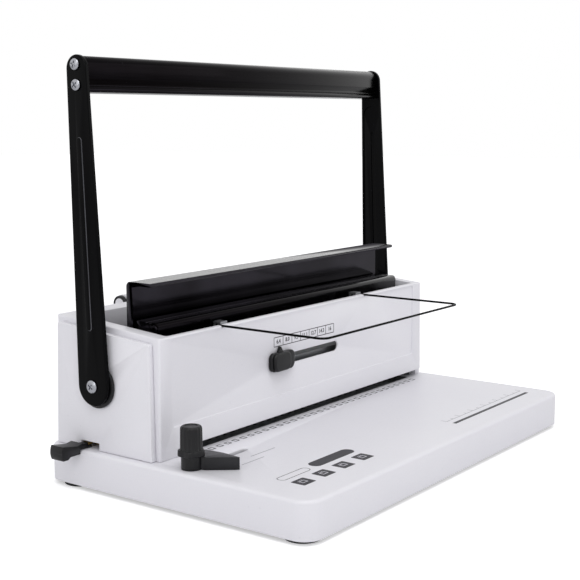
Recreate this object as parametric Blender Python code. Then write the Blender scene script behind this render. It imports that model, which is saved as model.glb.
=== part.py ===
"""Double-loop wire binding machine with a 34-hole punch and a closer, as separate pieces.

Metres, Z up, floor at zero. The operator stands on the -Y side, the margin lever is on the -X side.
"""

import math

import bmesh
import bpy
from mathutils import Matrix, Vector

# Clearances
seat_gap = 0.0003
slide_gap = 0.0005
overrun = 0.004
weld = 0.000005

# Base
base_side_margin = 0.010
base_depth = 0.224
base_bottom = 0.003
base_top = 0.028
base_wall = 0.0025
base_corner = 0.013
rolled_edge = 0.0025
plate_thick = 0.0015
plate_ledge = 0.0012
foot_radius = 0.012
foot_stem = 0.003
foot_stem_rise = 0.0025
foot_bevel = 0.001
foot_front_in_x = 0.0155
foot_front_in_y = 0.016
foot_rear_in_x = 0.014
foot_rear_in_y = 0.020

# Paper throat and die
throat_margin = 0.0053
throat_front = 0.0167
throat_height = 0.005
die_depth = 0.024
die_thick = 0.0077
die_end_length = 0.005
die_sink = 0.0003
hole_count = 34
three_loops = 0.0254
loops_counted = 3
hole_pitch = three_loops / loops_counted
hole_row_shift = 0.003
punch_y = 0.027
pin_side = 0.004
pin_clearance = 0.0003
pin_above_paper = 0.001
guide_height = 0.012
guide_front = 0.0175
guide_depth = 0.0215

# Body cover
cover_side_gap = 0.005
cover_draft = 0.001
cover_front = 0.0137
cover_front_top = 0.0140
cover_rear = 0.1072
cover_rear_top = 0.1086
cover_above_leg = 0.0133
cover_rise_share = 0.082
cover_wall = 0.0022
cover_corner = 0.0015
cover_edge = 0.001
cover_inner_corner = 0.0005
top_hole_margin = 0.003
top_hole_front = 0.0172
top_hole_rear = 0.0955
hem_thick = 0.0012
hem_overlap = 0.0005
hem_side_deep = 0.008
hem_rear_deep = 0.014
throat_lift = 0.0055
throat_left = -0.142
inset_left_margin = 0.012
inset_right_margin = 0.014
inset_low = 0.0487
inset_high_drop = 0.0015
inset_deep = 0.0009
inset_corner = 0.002

# Side panels
panel_thick = 0.0041
panel_front = 0.0175
panel_front_top = 0.0195
panel_rear = 0.1058
panel_rear_top = 0.1038
panel_below_top = 0.0042
panel_corner = 0.0015

# Side frames and shaft
frame_margin = 0.007
frame_thick = 0.003
frame_front = 0.020
frame_rear = 0.098
frame_top_drop = 0.010
flange_length = 0.016
flange_front = 0.024
flange_rear = 0.050
foot_flange_length = 0.010
foot_flange_front = 0.040
foot_flange_rear = 0.062
pivot_y = 0.0645
pivot_above_bar = 0.01336
shaft_radius = 0.005
bush_radius = 0.008
bush_flange = 0.0105
bush_flange_thick = 0.002
gear_teeth = 15
gear_module = 0.0012
gear_inner = 0.100
gear_face = 0.020
tooth_add = 0.0010
tooth_play = 0.00035
tooth_lash = 0.00025
flank_deg = 20.0
flank_steps = 3

# Handle
arm_side_gap = 0.007
arm_thick = 0.003
arm_foot_radius = 0.0135
arm_head_radius = 0.0089
arm_head_y = 0.0720
arm_rise = 0.207
boss_radius = 0.0153
boss_thick = 0.002
bolt_head = 0.0045
bolt_head_thick = 0.0018
bolt_shank = 0.003
bolt_depth = 0.008
rivet_head = 0.0038
rivet_shank = 0.002
rivet_depth = 0.007
rivet_high_rise = 0.0026
rivet_low_front = 0.0006
rivet_low_drop = 0.0104
bar_front_reach = 0.0070
bar_depth = 0.0155
bar_low_drop = 0.0153
bar_height = 0.0233
bar_round = 0.006
bar_lean_deg = 2.2
bar_foot_chamfer = 0.0009
bar_lip_rise = 0.0022
bar_facet_rise = 0.0055
bar_facet_deep = 0.0017
bar_waist_rise = 0.0090
rib_low_rise = 0.0395
rib_high_drop = 0.046
rib_half = 0.0024
rib_rise = 0.0008
rib_crown_share = 0.6
pan_low_rise = 0.0265
pan_high_drop = 0.0295
pan_wall = 0.0017
pan_deep = 0.0015
groove_wall = 0.0007
groove_deep = 0.001

# Punch bar
bar_travel = 0.01414
punch_bar_margin = 0.0003
punch_bar_front = 0.022
punch_bar_depth = 0.010
punch_bar_height = 0.012
leg_above_rack = 0.00147
rack_teeth_up = 5
rack_teeth_down = 2

# Closer
rail_end_gap = 0.009
rail_front = 0.0295
rail_rear = 0.050
rail_height = 0.0162
rail_round = 0.003
rail_groove = 0.0006
rail_groove_width = 0.001
rail_groove_back = 0.0065
rail_screw_y = 0.0325
rail_screw_drop = 0.004
rail_screw_head = 0.0026
rail_screw_head_thick = 0.001
rail_screw_shank = 0.0015
rail_screw_depth = 0.008
press_end_gap = 0.0075
press_rear = 0.0565
press_thick = 0.0055
press_low_drop = 0.0027
press_mouth = 0.0235
press_round = 0.0035
press_lip_front = 0.034
press_lip_thick = 0.0025
press_inner_round = 0.0015
tongue_below = 0.0095

# Springs
spring_radius = 0.0038
spring_wire = 0.0006
spring_turns = 5
spring_side = 0.005
spring_behind_guide = 0.005
ring_points = 8
wire_sides = 5

# Size selector
slot_start_play = 0.0031
slot_end_play = 0.0104
slot_drop = 0.0315
slot_width = 0.0078
knob_left = -0.0494
knob_right = -0.0215
knob_top_drop = 0.0282
knob_height = 0.0139
knob_front = 0.0115
knob_corner = 0.0045
knob_neck_half = 0.003
knob_pointer_half = 0.0026
knob_pointer_rise = 0.0042
grip_left = -0.0476
grip_right = -0.0280
grip_front = 0.0092
slider_thick = 0.002
slider_margin = 0.008
slider_top_drop = 0.021
slider_height = 0.026
step_count = 7
step_depth = 0.0012
selector_travel = 0.0634

# Wire support
wire_radius = 0.0008
wire_left = -0.1002
wire_right = 0.0766
wire_front = -0.070
wire_drop = 0.0003
wire_bend = 0.006
wire_foot = 0.009
notch_half = 0.0017
notch_drop = 0.0018
clip_length = 0.007
clip_depth = 0.0065
clip_below = 0.007
clip_above = 0.0023

# Margin lever, rocker and paper stop
side_slot_play = 0.0006
side_slot_rise = 0.0053
lever_neck_start = 0.00275
lever_neck_width = 0.0053
lever_neck_inner = 0.0034
lever_neck_rise = 0.0040
lever_travel = 0.0108
lever_plate_thick = 0.0017
lever_arm_half = 0.0023
lever_grip_width = 0.0115
lever_grip_inner = 0.0082
lever_grip_reach = 0.0272
lever_grip_drop = 0.0040
lever_grip_rise = 0.0057
lever_inner_rise = 0.0046
lever_waist_rise = 0.0036
lever_waist_out = 0.005
lever_under_drop = 0.0025
lever_heel_length = 0.0045
lever_heel_slope = 0.0022
lever_end_bulge = 0.0012
rocker_margin = 0.025
rocker_y = 0.07425
rocker_long = 0.024
rocker_short = 0.008
rocker_turn_deg = 13.0
rocker_end = 0.0039
rocker_tail = 0.0036
rocker_thick = 0.0017
pin_radius = 0.0015
pin_slot_play = 0.0004
stud_radius = 0.0025
stud_head = 0.0038
stud_head_thick = 0.0013
stop_right_margin = 0.010
stop_front = 0.0305
stop_depth = 0.003
stop_height = 0.0042
stop_tail_half = 0.0026

# Edge guide
guide_side_margin = 0.0126
guide_y = -0.0106
guide_disc = 0.0068
guide_rise = 0.0085
guide_stop_reach = 0.0171
guide_stop_front_y = -0.0375
guide_stop_rear_y = -0.0085
guide_stop_front_reach = 0.0154
guide_heel_reach = 0.0014
guide_heel_y = -0.0196
guide_travel = 0.0535
guide_slot_half = 0.0025
collar_radius = 0.009
collar_valley = 0.0077
collar_lobes = 5
collar_points = 30
collar_rise = 0.013
knob_foot_radius = 0.0073
knob_head_radius = 0.0071
knob_cap_radius = 0.0054
knob_rise = 0.0282
knob_rib_deep = 0.0004
stem_radius = 0.0022
nut_half_x = 0.006
nut_half_y = 0.005
nut_height = 0.0042
nut_drop = 0.0003

# Chip drawer
drawer_front_y = 0.017
drawer_rear_y = 0.042
drawer_top_drop = 0.009
drawer_wall = 0.0015
drawer_face_thick = 0.005
drawer_reach = 0.0015
drawer_grip_deep = 0.002
drawer_grip_half = 0.007
drawer_grip_low = 0.006

# Carry bar at the rear
carry_back = 0.0083
carry_rise = 0.005
carry_radius = 0.0044
carry_cap_radius = 0.0063
carry_cap_length = 0.0024
carry_end = 0.0973
carry_post_length = 0.0095
carry_post_round = 0.0068
carry_post_drop = 0.009

# Corner and circle resolution
corner_steps = 4
edge_steps = 3
circle_points = 24
small_points = 12
smooth_deg = 30.0
head_shoulder_share = 0.86
head_crown_share = 0.45

body_collection = bpy.data.collections.new("coil_binding_machine")
cutter_collection = bpy.data.collections.new("cutters")
materials = {}
markers = {}
marker_places = {}


def clear_file():
    for item in list(bpy.data.objects):
        bpy.data.objects.remove(item, do_unlink=True)
    bpy.context.scene.collection.children.link(body_collection)
    bpy.context.scene.collection.children.link(cutter_collection)


def material(name, colour, roughness, metallic):
    made = bpy.data.materials.new(name)
    made.use_nodes = True
    shader = made.node_tree.nodes["Principled BSDF"]
    shader.inputs["Base Color"].default_value = (*colour, 1.0)
    shader.inputs["Roughness"].default_value = roughness
    shader.inputs["Metallic"].default_value = metallic
    made.diffuse_color = (*colour, 1.0)
    materials[name] = made


def make_materials():
    material("cover_white", (0.82, 0.81, 0.84), 0.38, 0.0)
    material("black_enamel", (0.012, 0.012, 0.013), 0.42, 0.0)
    material("black_anodised", (0.014, 0.013, 0.014), 0.36, 0.6)
    material("black_plastic", (0.016, 0.016, 0.018), 0.45, 0.0)
    material("foot_rubber", (0.02, 0.02, 0.022), 0.8, 0.0)
    material("bright_steel", (0.62, 0.62, 0.64), 0.28, 1.0)
    material("dull_steel", (0.33, 0.33, 0.34), 0.42, 1.0)
    material("brass", (0.68, 0.47, 0.16), 0.32, 1.0)


def from_faces(name, points, faces):
    mesh = bpy.data.meshes.new(name)
    mesh.from_pydata([tuple(p) for p in points], [], faces)
    mesh.validate()
    mesh.update()
    item = bpy.data.objects.new(name, mesh)
    tidy_normals(item)
    return item


def tidy_normals(item):
    work = bmesh.new()
    work.from_mesh(item.data)
    bmesh.ops.recalc_face_normals(work, faces=work.faces)
    work.to_mesh(item.data)
    work.free()


def loft(name, rings):
    """Closed skin through rings of equal point count, flat at both ends."""
    count = len(rings[0])
    points = [point for ring in rings for point in ring]
    faces = [tuple(reversed(range(count)))]
    for row in range(len(rings) - 1):
        low = row * count
        high = low + count
        for k in range(count):
            after = (k + 1) % count
            faces.append((low + k, low + after, high + after, high + k))
    last = (len(rings) - 1) * count
    faces.append(tuple(range(last, last + count)))
    return from_faces(name, points, faces)


def lift(u, v, w, axis):
    """Puts outline coordinates u, v at height w along the axis named."""
    if axis == "X":
        return (w, u, v)
    if axis == "Y":
        return (u, w, v)
    return (u, v, w)


def prism(name, outline, low, high, axis="Z"):
    rings = [[lift(u, v, w, axis) for u, v in outline] for w in (low, high)]
    return loft(name, rings)


def block(name, x0, x1, y0, y1, z0, z1):
    return prism(name, [(x0, y0), (x1, y0), (x1, y1), (x0, y1)], z0, z1)


def arc(cx, cy, radius, start_deg, end_deg, steps):
    points = []
    for k in range(steps + 1):
        turn = math.radians(start_deg + (end_deg - start_deg) * k / steps)
        points.append((cx + radius * math.cos(turn), cy + radius * math.sin(turn)))
    return points


def circle(cx, cy, radius, count):
    points = []
    for k in range(count):
        turn = math.tau * k / count
        points.append((cx + radius * math.cos(turn), cy + radius * math.sin(turn)))
    return points


def rounded(x0, x1, y0, y1, radius, steps=corner_steps):
    outline = []
    outline += arc(x1 - radius, y0 + radius, radius, -90, 0, steps)
    outline += arc(x1 - radius, y1 - radius, radius, 0, 90, steps)
    outline += arc(x0 + radius, y1 - radius, radius, 90, 180, steps)
    outline += arc(x0 + radius, y0 + radius, radius, 180, 270, steps)
    return outline


def capsule(a, b, radius_a, radius_b, steps):
    """Outline round two circles and the straight lines that touch both."""
    span = math.dist(a, b)
    heading = math.degrees(math.atan2(b[1] - a[1], b[0] - a[0]))
    lean = math.degrees(math.acos((radius_a - radius_b) / span))
    outline = arc(b[0], b[1], radius_b, heading - lean, heading + lean, steps)
    outline += arc(a[0], a[1], radius_a, heading + lean, heading + 360 - lean, steps)
    return outline


def rod(name, radius, low, high, centre, axis, count=circle_points):
    return prism(name, circle(centre[0], centre[1], radius, count), low, high, axis)


def lathe(name, profile, centre, axis="Z", count=circle_points):
    """Stack of circles: profile holds height and radius pairs."""
    rings = []
    for height, radius in profile:
        ring = circle(centre[0], centre[1], radius, count)
        rings.append([lift(u, v, height, axis) for u, v in ring])
    return loft(name, rings)


def apply_modifiers(item):
    graph = bpy.context.evaluated_depsgraph_get()
    mesh = bpy.data.meshes.new_from_object(item.evaluated_get(graph))
    old = item.data
    item.modifiers.clear()
    item.data = mesh
    mesh.name = item.name
    bpy.data.meshes.remove(old)


def combine(item, others, operation):
    """Joins or cuts other bodies with the exact solver, then leaves a plain mesh."""
    body_collection.objects.link(item)
    for other in others:
        cutter_collection.objects.link(other)
        other.hide_render = True
        other.display_type = "WIRE"
        step = item.modifiers.new(other.name, "BOOLEAN")
        step.operation = operation
        step.solver = "EXACT"
        step.object = other
    bpy.context.view_layer.update()
    apply_modifiers(item)
    body_collection.objects.unlink(item)
    for other in others:
        bpy.data.objects.remove(other, do_unlink=True)
    clean_mesh(item)
    return item


def clean_mesh(item):
    work = bmesh.new()
    work.from_mesh(item.data)
    bmesh.ops.remove_doubles(work, verts=work.verts, dist=weld)
    bmesh.ops.dissolve_degenerate(work, edges=work.edges, dist=weld)
    work.to_mesh(item.data)
    work.free()


def cut(item, *others):
    return combine(item, others, "DIFFERENCE")


def join(item, *others):
    return combine(item, others, "UNION")


def many(name, items):
    """One mesh that holds several separate bodies, used only as a cutter or an addition."""
    points = []
    faces = []
    for item in items:
        start = len(points)
        points += [tuple(v.co) for v in item.data.vertices]
        faces += [tuple(start + k for k in f.vertices) for f in item.data.polygons]
        bpy.data.objects.remove(item, do_unlink=True)
    return from_faces(name, points, faces)


def mirrored(item, name):
    """A copy of a body on the other side of the middle plane."""
    points = [(-v.co.x, v.co.y, v.co.z) for v in item.data.vertices]
    faces = [tuple(reversed(f.vertices)) for f in item.data.polygons]
    return from_faces(name, points, faces)


def pivot(name, place, parent=None):
    """Empty that carries a moving group, placed on the axis that the group turns or slides about."""
    marker = bpy.data.objects.new(name, None)
    marker.empty_display_size = foot_radius
    body_collection.objects.link(marker)
    markers[name] = marker
    marker_places[name] = Vector(place)
    if parent:
        marker.parent = markers[parent]
        marker.location = Vector(place) - marker_places[parent]
    return marker


def finish(item, slot, group):
    """Names the material, moves the mesh under its pivot and links the piece."""
    item.data.transform(Matrix.Translation(-marker_places[group]))
    item.parent = markers[group]
    item.data.materials.clear()
    item.data.materials.append(materials[slot])
    item.data.shade_smooth()
    item.data.set_sharp_from_angle(angle=math.radians(smooth_deg))
    body_collection.objects.link(item)
    return item


def both_sides(item, other_name, slot, group):
    """Finishes a piece on the +X side and its mirror image on the -X side."""
    twin = mirrored(item, other_name)
    finish(item, slot, group)
    finish(twin, slot, group)


# Places that several pieces share
row_reach = (hole_count - 1) / 2 * hole_pitch + hole_row_shift + pin_side / 2
throat_half = row_reach + throat_margin
punch_bar_half = row_reach + punch_bar_margin
frame_inner = throat_half + frame_margin
cover_half = frame_inner + frame_thick + cover_side_gap
arm_inner = cover_half + arm_side_gap
shaft_end = arm_inner - seat_gap
base_half_x = cover_half + base_side_margin
base_half_y = base_depth / 2
top_hole_half = frame_inner - top_hole_margin
inset_left = inset_left_margin - cover_half
inset_right = cover_half - inset_right_margin
rail_half = frame_inner - rail_end_gap
press_half = frame_inner - press_end_gap
ceiling = base_top - base_wall
throat_ceiling = base_top + throat_height
guide_top = throat_ceiling + guide_height
pin_low = throat_ceiling + pin_above_paper
punch_bar_low = guide_top + bar_travel + pin_above_paper
pivot_z = punch_bar_low + pivot_above_bar
tooth_pitch = math.pi * gear_module
tooth_half = (tooth_pitch / 2 - tooth_lash) / 2
leg_top = pivot_z + (rack_teeth_up + 0.5) * tooth_pitch + leg_above_rack
cover_front_height = leg_top + cover_above_leg
tongue_low = pivot_z - tongue_below
gear_outer = gear_inner + gear_face
gear_middle = (gear_inner + gear_outer) / 2
spring_x = gear_middle + spring_side
spring_y = guide_front + guide_depth + spring_behind_guide
arm_head_z = pivot_z + arm_rise
side_slot_high = base_top + side_slot_rise
lever_neck_front = rocker_y + lever_neck_start
lever_neck_rear = lever_neck_front + lever_neck_width
side_slot_front = lever_neck_front - lever_travel - side_slot_play
side_slot_rear = lever_neck_rear + side_slot_play
lever_neck_low = base_top + slide_gap
lever_neck_high = base_top + lever_neck_rise
lever_grip_low = base_top - lever_grip_drop
lever_grip_high = base_top + lever_grip_rise
lever_grip_rear = lever_neck_front + lever_grip_width
collar_high = base_top + collar_rise
knob_top = base_top + knob_rise
drawer_top = base_top - drawer_top_drop
inset_high = cover_front_height - inset_high_drop
frame_top = cover_front_height - frame_top_drop
rail_top = frame_top + seat_gap + rail_height
rail_screw_z = rail_top - rail_screw_drop
press_low = frame_top - press_low_drop
press_high = rail_top + press_mouth + press_lip_thick
slot_high = cover_front_height - slot_drop
slot_low = slot_high - slot_width
knob_high = cover_front_height - knob_top_drop
knob_low = knob_high - knob_height
slider_high = cover_front_height - slider_top_drop
slider_low = slider_high - slider_height
wire_z = cover_front_height - wire_drop
notch_low = cover_front_height - notch_drop
carry_z = cover_front_height + carry_rise
carry_y = cover_rear + carry_back
carry_post_low = cover_front_height - carry_post_drop
rivet_high_z = arm_head_z + rivet_high_rise
rivet_low_y = arm_head_y - rivet_low_front
rivet_low_z = arm_head_z - rivet_low_drop
bar_front = arm_head_y - bar_front_reach
bar_low = arm_head_z - bar_low_drop
bar_high = bar_low + bar_height
rib_low = pivot_z + rib_low_rise
rib_high = arm_head_z - rib_high_drop
pan_low = pivot_z + pan_low_rise
pan_high = arm_head_z - pan_high_drop
plate_top = base_bottom + plate_thick
die_front = throat_front + seat_gap
die_rear = die_front + die_depth
rack_line_y = press_rear - tooth_add
gear_pitch_radius = pivot_y - rack_line_y
clip_front = top_hole_front + seat_gap
wire_hinge_y = clip_front + clip_depth / 2
rocker_x = rocker_margin - frame_inner
rocker_cos = math.cos(math.radians(rocker_turn_deg))
rocker_sin = math.sin(math.radians(rocker_turn_deg))
lever_pin_x = rocker_x - rocker_long * rocker_cos
lever_pin_y = rocker_y + rocker_long * rocker_sin
stop_pin_x = rocker_x + rocker_short * rocker_cos
stop_pin_y = rocker_y - rocker_short * rocker_sin
floor_layer = base_top + seat_gap
arm_layer = floor_layer + rocker_thick + seat_gap
knob_middle = (grip_left + grip_right) / 2
slot_left = knob_middle - knob_neck_half - slot_start_play
slot_right = knob_middle + selector_travel + knob_neck_half + slot_end_play
lever_neck_end = cover_half + lever_neck_inner
lever_inner = cover_half + lever_grip_inner
lever_grip_outer = cover_half + lever_grip_reach
stop_left = -throat_half
stop_right = throat_half - stop_right_margin
guide_x = guide_side_margin - base_half_x
guide_stop_x = guide_x + guide_stop_reach
guide_stop_front_x = guide_x + guide_stop_front_reach
guide_heel_x = guide_x + guide_heel_reach
drawer_left = -throat_half
drawer_face_x = base_half_x + drawer_reach
middle_shift = (lever_grip_outer - drawer_face_x - drawer_grip_deep) / 2
depth_shift = (base_half_y - carry_y - carry_post_round) / 2


def height_share(z):
    return (z - base_top) / (cover_front_height - base_top)


def side_x(z):
    return cover_half - cover_draft * height_share(z)


def front_y(z):
    return cover_front + (cover_front_top - cover_front) * height_share(z)


def rear_y(z):
    return cover_rear - (cover_rear - cover_rear_top) * height_share(z)


def cover_top(y):
    return cover_front_height + cover_rise_share * (y - cover_front_top)


def hole_places():
    middle = (hole_count - 1) / 2
    return [hole_row_shift + (n - middle) * hole_pitch for n in range(hole_count)]


def base_ring(inset, z):
    half_x = base_half_x - inset
    half_y = base_half_y - inset
    outline = rounded(-half_x, half_x, -half_y, half_y, base_corner - inset)
    return [(x, y, z) for x, y in outline]


def base_tray():
    rings = [base_ring(0, base_bottom)]
    for k in range(edge_steps + 1):
        turn = math.radians(90 * k / edge_steps)
        inset = rolled_edge * (1 - math.cos(turn))
        rings.append(base_ring(inset, base_top - rolled_edge * (1 - math.sin(turn))))
    tray = loft("base_tray", rings)
    low = base_bottom - overrun
    recess = loft("recess", [base_ring(base_wall - plate_ledge, z) for z in (low, plate_top + seat_gap)])
    cavity = loft("cavity", [base_ring(base_wall, z) for z in (low, ceiling)])
    rear = die_rear + seat_gap
    mouth = block(
        "throat", -throat_half, throat_half, throat_front, rear, ceiling - overrun, base_top + overrun
    )
    slot_end = (guide_x + guide_travel, guide_y)
    slot = capsule((guide_x, guide_y), slot_end, guide_slot_half, guide_slot_half, corner_steps)
    track = prism("track", slot, ceiling - overrun, base_top + overrun)
    door = block(
        "door",
        base_half_x - base_wall - overrun,
        base_half_x + overrun,
        drawer_front_y - 2 * seat_gap,
        drawer_rear_y + 2 * seat_gap,
        plate_top,
        drawer_top + 2 * seat_gap,
    )
    finish(cut(tray, recess, cavity, mouth, track, door), "cover_white", "machine")


def foot_places():
    front_x = base_half_x - foot_front_in_x
    front_y = foot_front_in_y - base_half_y
    rear_x = base_half_x - foot_rear_in_x
    rear_y = base_half_y - foot_rear_in_y
    return {
        "foot_front_left": (-front_x, front_y),
        "foot_front_right": (front_x, front_y),
        "foot_rear_left": (-rear_x, rear_y),
        "foot_rear_right": (rear_x, rear_y),
    }


def base_plate():
    inset = base_wall - plate_ledge + seat_gap
    plate = loft("base_plate", [base_ring(inset, z) for z in (base_bottom, plate_top)])
    holes = []
    for name, place in foot_places().items():
        bore = foot_stem + seat_gap
        holes.append(rod(name, bore, base_bottom - overrun, plate_top + overrun, place, "Z", small_points))
    finish(cut(plate, *holes), "dull_steel", "machine")


def feet():
    under = base_bottom - seat_gap
    profile = [
        (0, foot_radius - foot_bevel),
        (foot_bevel, foot_radius),
        (under, foot_radius),
        (under, foot_stem),
        (under + foot_stem_rise, foot_stem),
    ]
    for name, place in foot_places().items():
        finish(lathe(name, profile, place), "foot_rubber", "machine")


def cover_ring(inset, drop, edge):
    """Outline that follows the sloping top of the cover, drop below it."""
    half = cover_half - cover_draft - inset
    outline = rounded(-half, half, cover_front_top + inset, cover_rear_top - inset, edge)
    return [(x, y, cover_top(y) - drop) for x, y in outline]


def cover_foot_ring(inset, z, corner):
    half = cover_half - inset
    outline = rounded(-half, half, cover_front + inset, cover_rear - inset, corner)
    return [(x, y, z) for x, y in outline]


def side_slot(name, x0, x1):
    return block(name, x0, x1, side_slot_front, side_slot_rear, base_top - overrun, side_slot_high)


def wire_notch(name, x):
    deep = cover_front - overrun
    return block(name, x - notch_half, x + notch_half, deep, clip_front, notch_low, cover_top(cover_rear))


def opening_hems():
    """Hems turned down along the sides and the rear of the opening in the top."""
    inner = top_hole_half - hem_overlap
    outer = top_hole_half + hem_thick
    front = top_hole_front + hem_overlap
    rear = top_hole_rear + hem_thick
    tuck = cover_wall / 2
    side = [(front, cover_top(front) - tuck), (front, cover_top(front) - hem_side_deep)]
    side += [(rear, cover_top(rear) - hem_side_deep), (rear, cover_top(rear) - tuck)]
    low = cover_top(rear) - hem_rear_deep
    high = cover_top(top_hole_rear) - tuck
    return [
        prism("hem_left", side, -outer, -inner, "X"),
        prism("hem_right", side, inner, outer, "X"),
        block("hem_rear", -outer, outer, top_hole_rear - hem_overlap, rear, low, high),
    ]


def body_cover():
    rings = [cover_foot_ring(0, base_top + seat_gap, cover_corner)]
    for k in range(edge_steps + 1):
        turn = math.radians(90 * k / edge_steps)
        inset = cover_edge * (1 - math.cos(turn))
        rings.append(cover_ring(inset, cover_edge * (1 - math.sin(turn)), cover_corner - inset))
    cover = loft("body_cover", rings)
    hollow = loft(
        "hollow",
        [
            cover_foot_ring(cover_wall, base_top - overrun, cover_inner_corner),
            cover_ring(cover_wall, cover_wall, cover_inner_corner),
        ],
    )
    cover = join(cut(cover, hollow), *opening_hems())
    high = cover_top(cover_rear) + overrun
    top_hole = prism(
        "top_hole",
        rounded(-top_hole_half, top_hole_half, top_hole_front, top_hole_rear, cover_wall),
        cover_front_height - hem_rear_deep - overrun,
        high,
    )
    front_slot = block(
        "front_slot",
        throat_left,
        cover_half + overrun,
        cover_front - overrun,
        guide_front,
        base_top - overrun,
        base_top + throat_lift,
    )
    inset = prism(
        "inset",
        rounded(inset_left, inset_right, inset_low, inset_high, inset_corner),
        cover_front - overrun,
        front_y((inset_low + inset_high) / 2) + inset_deep,
        "Y",
    )
    size_slot = selector_slot(cover_front - overrun, guide_front + cover_wall)
    wide = shaft_radius + 2 * slide_gap
    shaft_hole = rod("shaft_hole", wide, -arm_inner, arm_inner, (pivot_y, pivot_z), "X", circle_points)
    lever_slot = side_slot("lever_slot", -cover_half - overrun, overrun - cover_half + cover_draft)
    notches = [wire_notch("notch_left", wire_left), wire_notch("notch_right", wire_right)]
    cutters = [top_hole, front_slot, inset, size_slot, shaft_hole, lever_slot, *notches]
    finish(cut(cover, *cutters), "cover_white", "machine")


def selector_slot(y0, y1):
    radius = (slot_high - slot_low) / 2
    middle = (slot_high + slot_low) / 2
    ends = [(slot_left + radius, middle), (slot_right - radius, middle)]
    return prism("size_slot", capsule(ends[0], ends[1], radius, radius, corner_steps), y0, y1, "Y")


def panel_outline():
    low = base_top + seat_gap
    front_top = cover_top(panel_front_top) - panel_below_top
    rear_top = cover_top(panel_rear_top) - panel_below_top
    lean = math.atan(cover_rise_share)
    outline = [(panel_front, low), (panel_rear, low)]
    outline += arc(panel_rear_top - panel_corner, rear_top - panel_corner, panel_corner, 0, 90, corner_steps)
    start = 90 + math.degrees(lean)
    high = front_top - panel_corner * (1 - cover_rise_share)
    outline += arc(panel_front_top + panel_corner, high, panel_corner, start, 180, corner_steps)
    return outline


def side_panel(name, side):
    outline = panel_outline()
    near = [(side * (side_x(z) + seat_gap), y, z) for y, z in outline]
    far = [(side * (side_x(z) + seat_gap + panel_thick), y, z) for y, z in outline]
    panel = loft(name, [near, far])
    wide = shaft_radius + 2 * slide_gap
    cutters = [rod("hole", wide, -arm_inner, arm_inner, (pivot_y, pivot_z), "X", circle_points)]
    if side < 0:
        cutters.append(side_slot("slot", -arm_inner - overrun, -cover_half + cover_draft))
    finish(cut(panel, *cutters), "cover_white", "machine")


def side_frame(name, side):
    outer = frame_inner + frame_thick
    web = block("web", frame_inner, outer, frame_front, frame_rear, base_top + seat_gap, frame_top)
    flange = block(
        "flange",
        frame_inner - flange_length,
        frame_inner + frame_thick / 2,
        flange_front,
        flange_rear,
        frame_top - frame_thick,
        frame_top,
    )
    foot = block(
        "foot",
        frame_inner - foot_flange_length,
        frame_inner + frame_thick / 2,
        foot_flange_front,
        foot_flange_rear,
        base_top + seat_gap,
        base_top + seat_gap + frame_thick,
    )
    frame = join(web, flange, foot)
    cutters = [
        rod(
            "bore", bush_radius + seat_gap, frame_inner - overrun, frame_inner + frame_thick + overrun,
            (pivot_y, pivot_z), "X",
        )
    ]
    if side < 0:
        cutters.append(
            block(
                "window",
                frame_inner - overrun / 2,
                frame_inner + frame_thick + overrun,
                side_slot_front - 4 * slide_gap,
                frame_rear + overrun,
                base_top - overrun,
                side_slot_high + 2 * slide_gap,
            )
        )
    frame = cut(frame, *cutters)
    if side < 0:
        web = frame
        frame = mirrored(web, name)
        bpy.data.objects.remove(web, do_unlink=True)
    frame.name = name
    finish(frame, "dull_steel", "machine")


def die_plate():
    top = base_top - die_sink
    end_top = ceiling - seat_gap
    end_half = throat_half + die_end_length
    low = base_top - die_sink - die_thick
    inner = throat_half - seat_gap
    outline = [
        (-end_half, low), (end_half, low), (end_half, end_top), (inner, end_top),
        (inner, top), (-inner, top), (-inner, end_top), (-end_half, end_top),
    ]
    plate = prism("die_plate", outline, die_front, die_rear, "Y")
    half = pin_side / 2 + pin_clearance
    holes = [
        block("hole", x - half, x + half, punch_y - half, punch_y + half, low - overrun, top + overrun)
        for x in hole_places()
    ]
    finish(cut(plate, many("holes", holes)), "dull_steel", "machine")


def punch_guide():
    half_x = frame_inner - seat_gap
    rear = guide_front + guide_depth
    bar = block("punch_guide", -half_x, half_x, guide_front, rear, throat_ceiling, guide_top)
    half = pin_side / 2 + pin_clearance
    holes = [
        block(
            "hole", x - half, x + half, punch_y - half, punch_y + half, throat_ceiling - overrun,
            guide_top + overrun,
        )
        for x in hole_places()
    ]
    finish(cut(bar, many("holes", holes)), "dull_steel", "machine")


def anvil_rail():
    low = frame_top + seat_gap
    groove = rail_front + rail_groove_back
    outline = [(rail_rear, rail_top), (groove + rail_groove_width, rail_top)]
    outline += [(groove + rail_groove_width, rail_top - rail_groove), (groove, rail_top - rail_groove)]
    outline += [(groove, rail_top)]
    outline += arc(rail_front + rail_round, rail_top - rail_round, rail_round, 90, 180, edge_steps)
    outline += [(rail_front, low), (rail_rear, low)]
    rail = prism("anvil_rail", outline, -rail_half, rail_half, "X")
    bore = rail_screw_shank + seat_gap
    place = (rail_screw_y, rail_screw_z)
    deep = rail_half - rail_screw_depth - seat_gap
    holes = [
        rod("right", bore, deep, rail_half + overrun, place, "X", small_points),
        rod("left", bore, -rail_half - overrun, -deep, place, "X", small_points),
    ]
    finish(cut(rail, *holes), "black_anodised", "machine")


def rail_screws():
    under = rail_half + seat_gap
    profile = [
        (under - rail_screw_depth, rail_screw_shank),
        (under, rail_screw_shank),
        (under, rail_screw_head),
        (under + rail_screw_head_thick, rail_screw_head - seat_gap),
    ]
    screw = lathe("rail_screw_right", profile, (rail_screw_y, rail_screw_z), "X", small_points)
    both_sides(screw, "rail_screw_left", "black_anodised", "machine")


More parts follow.
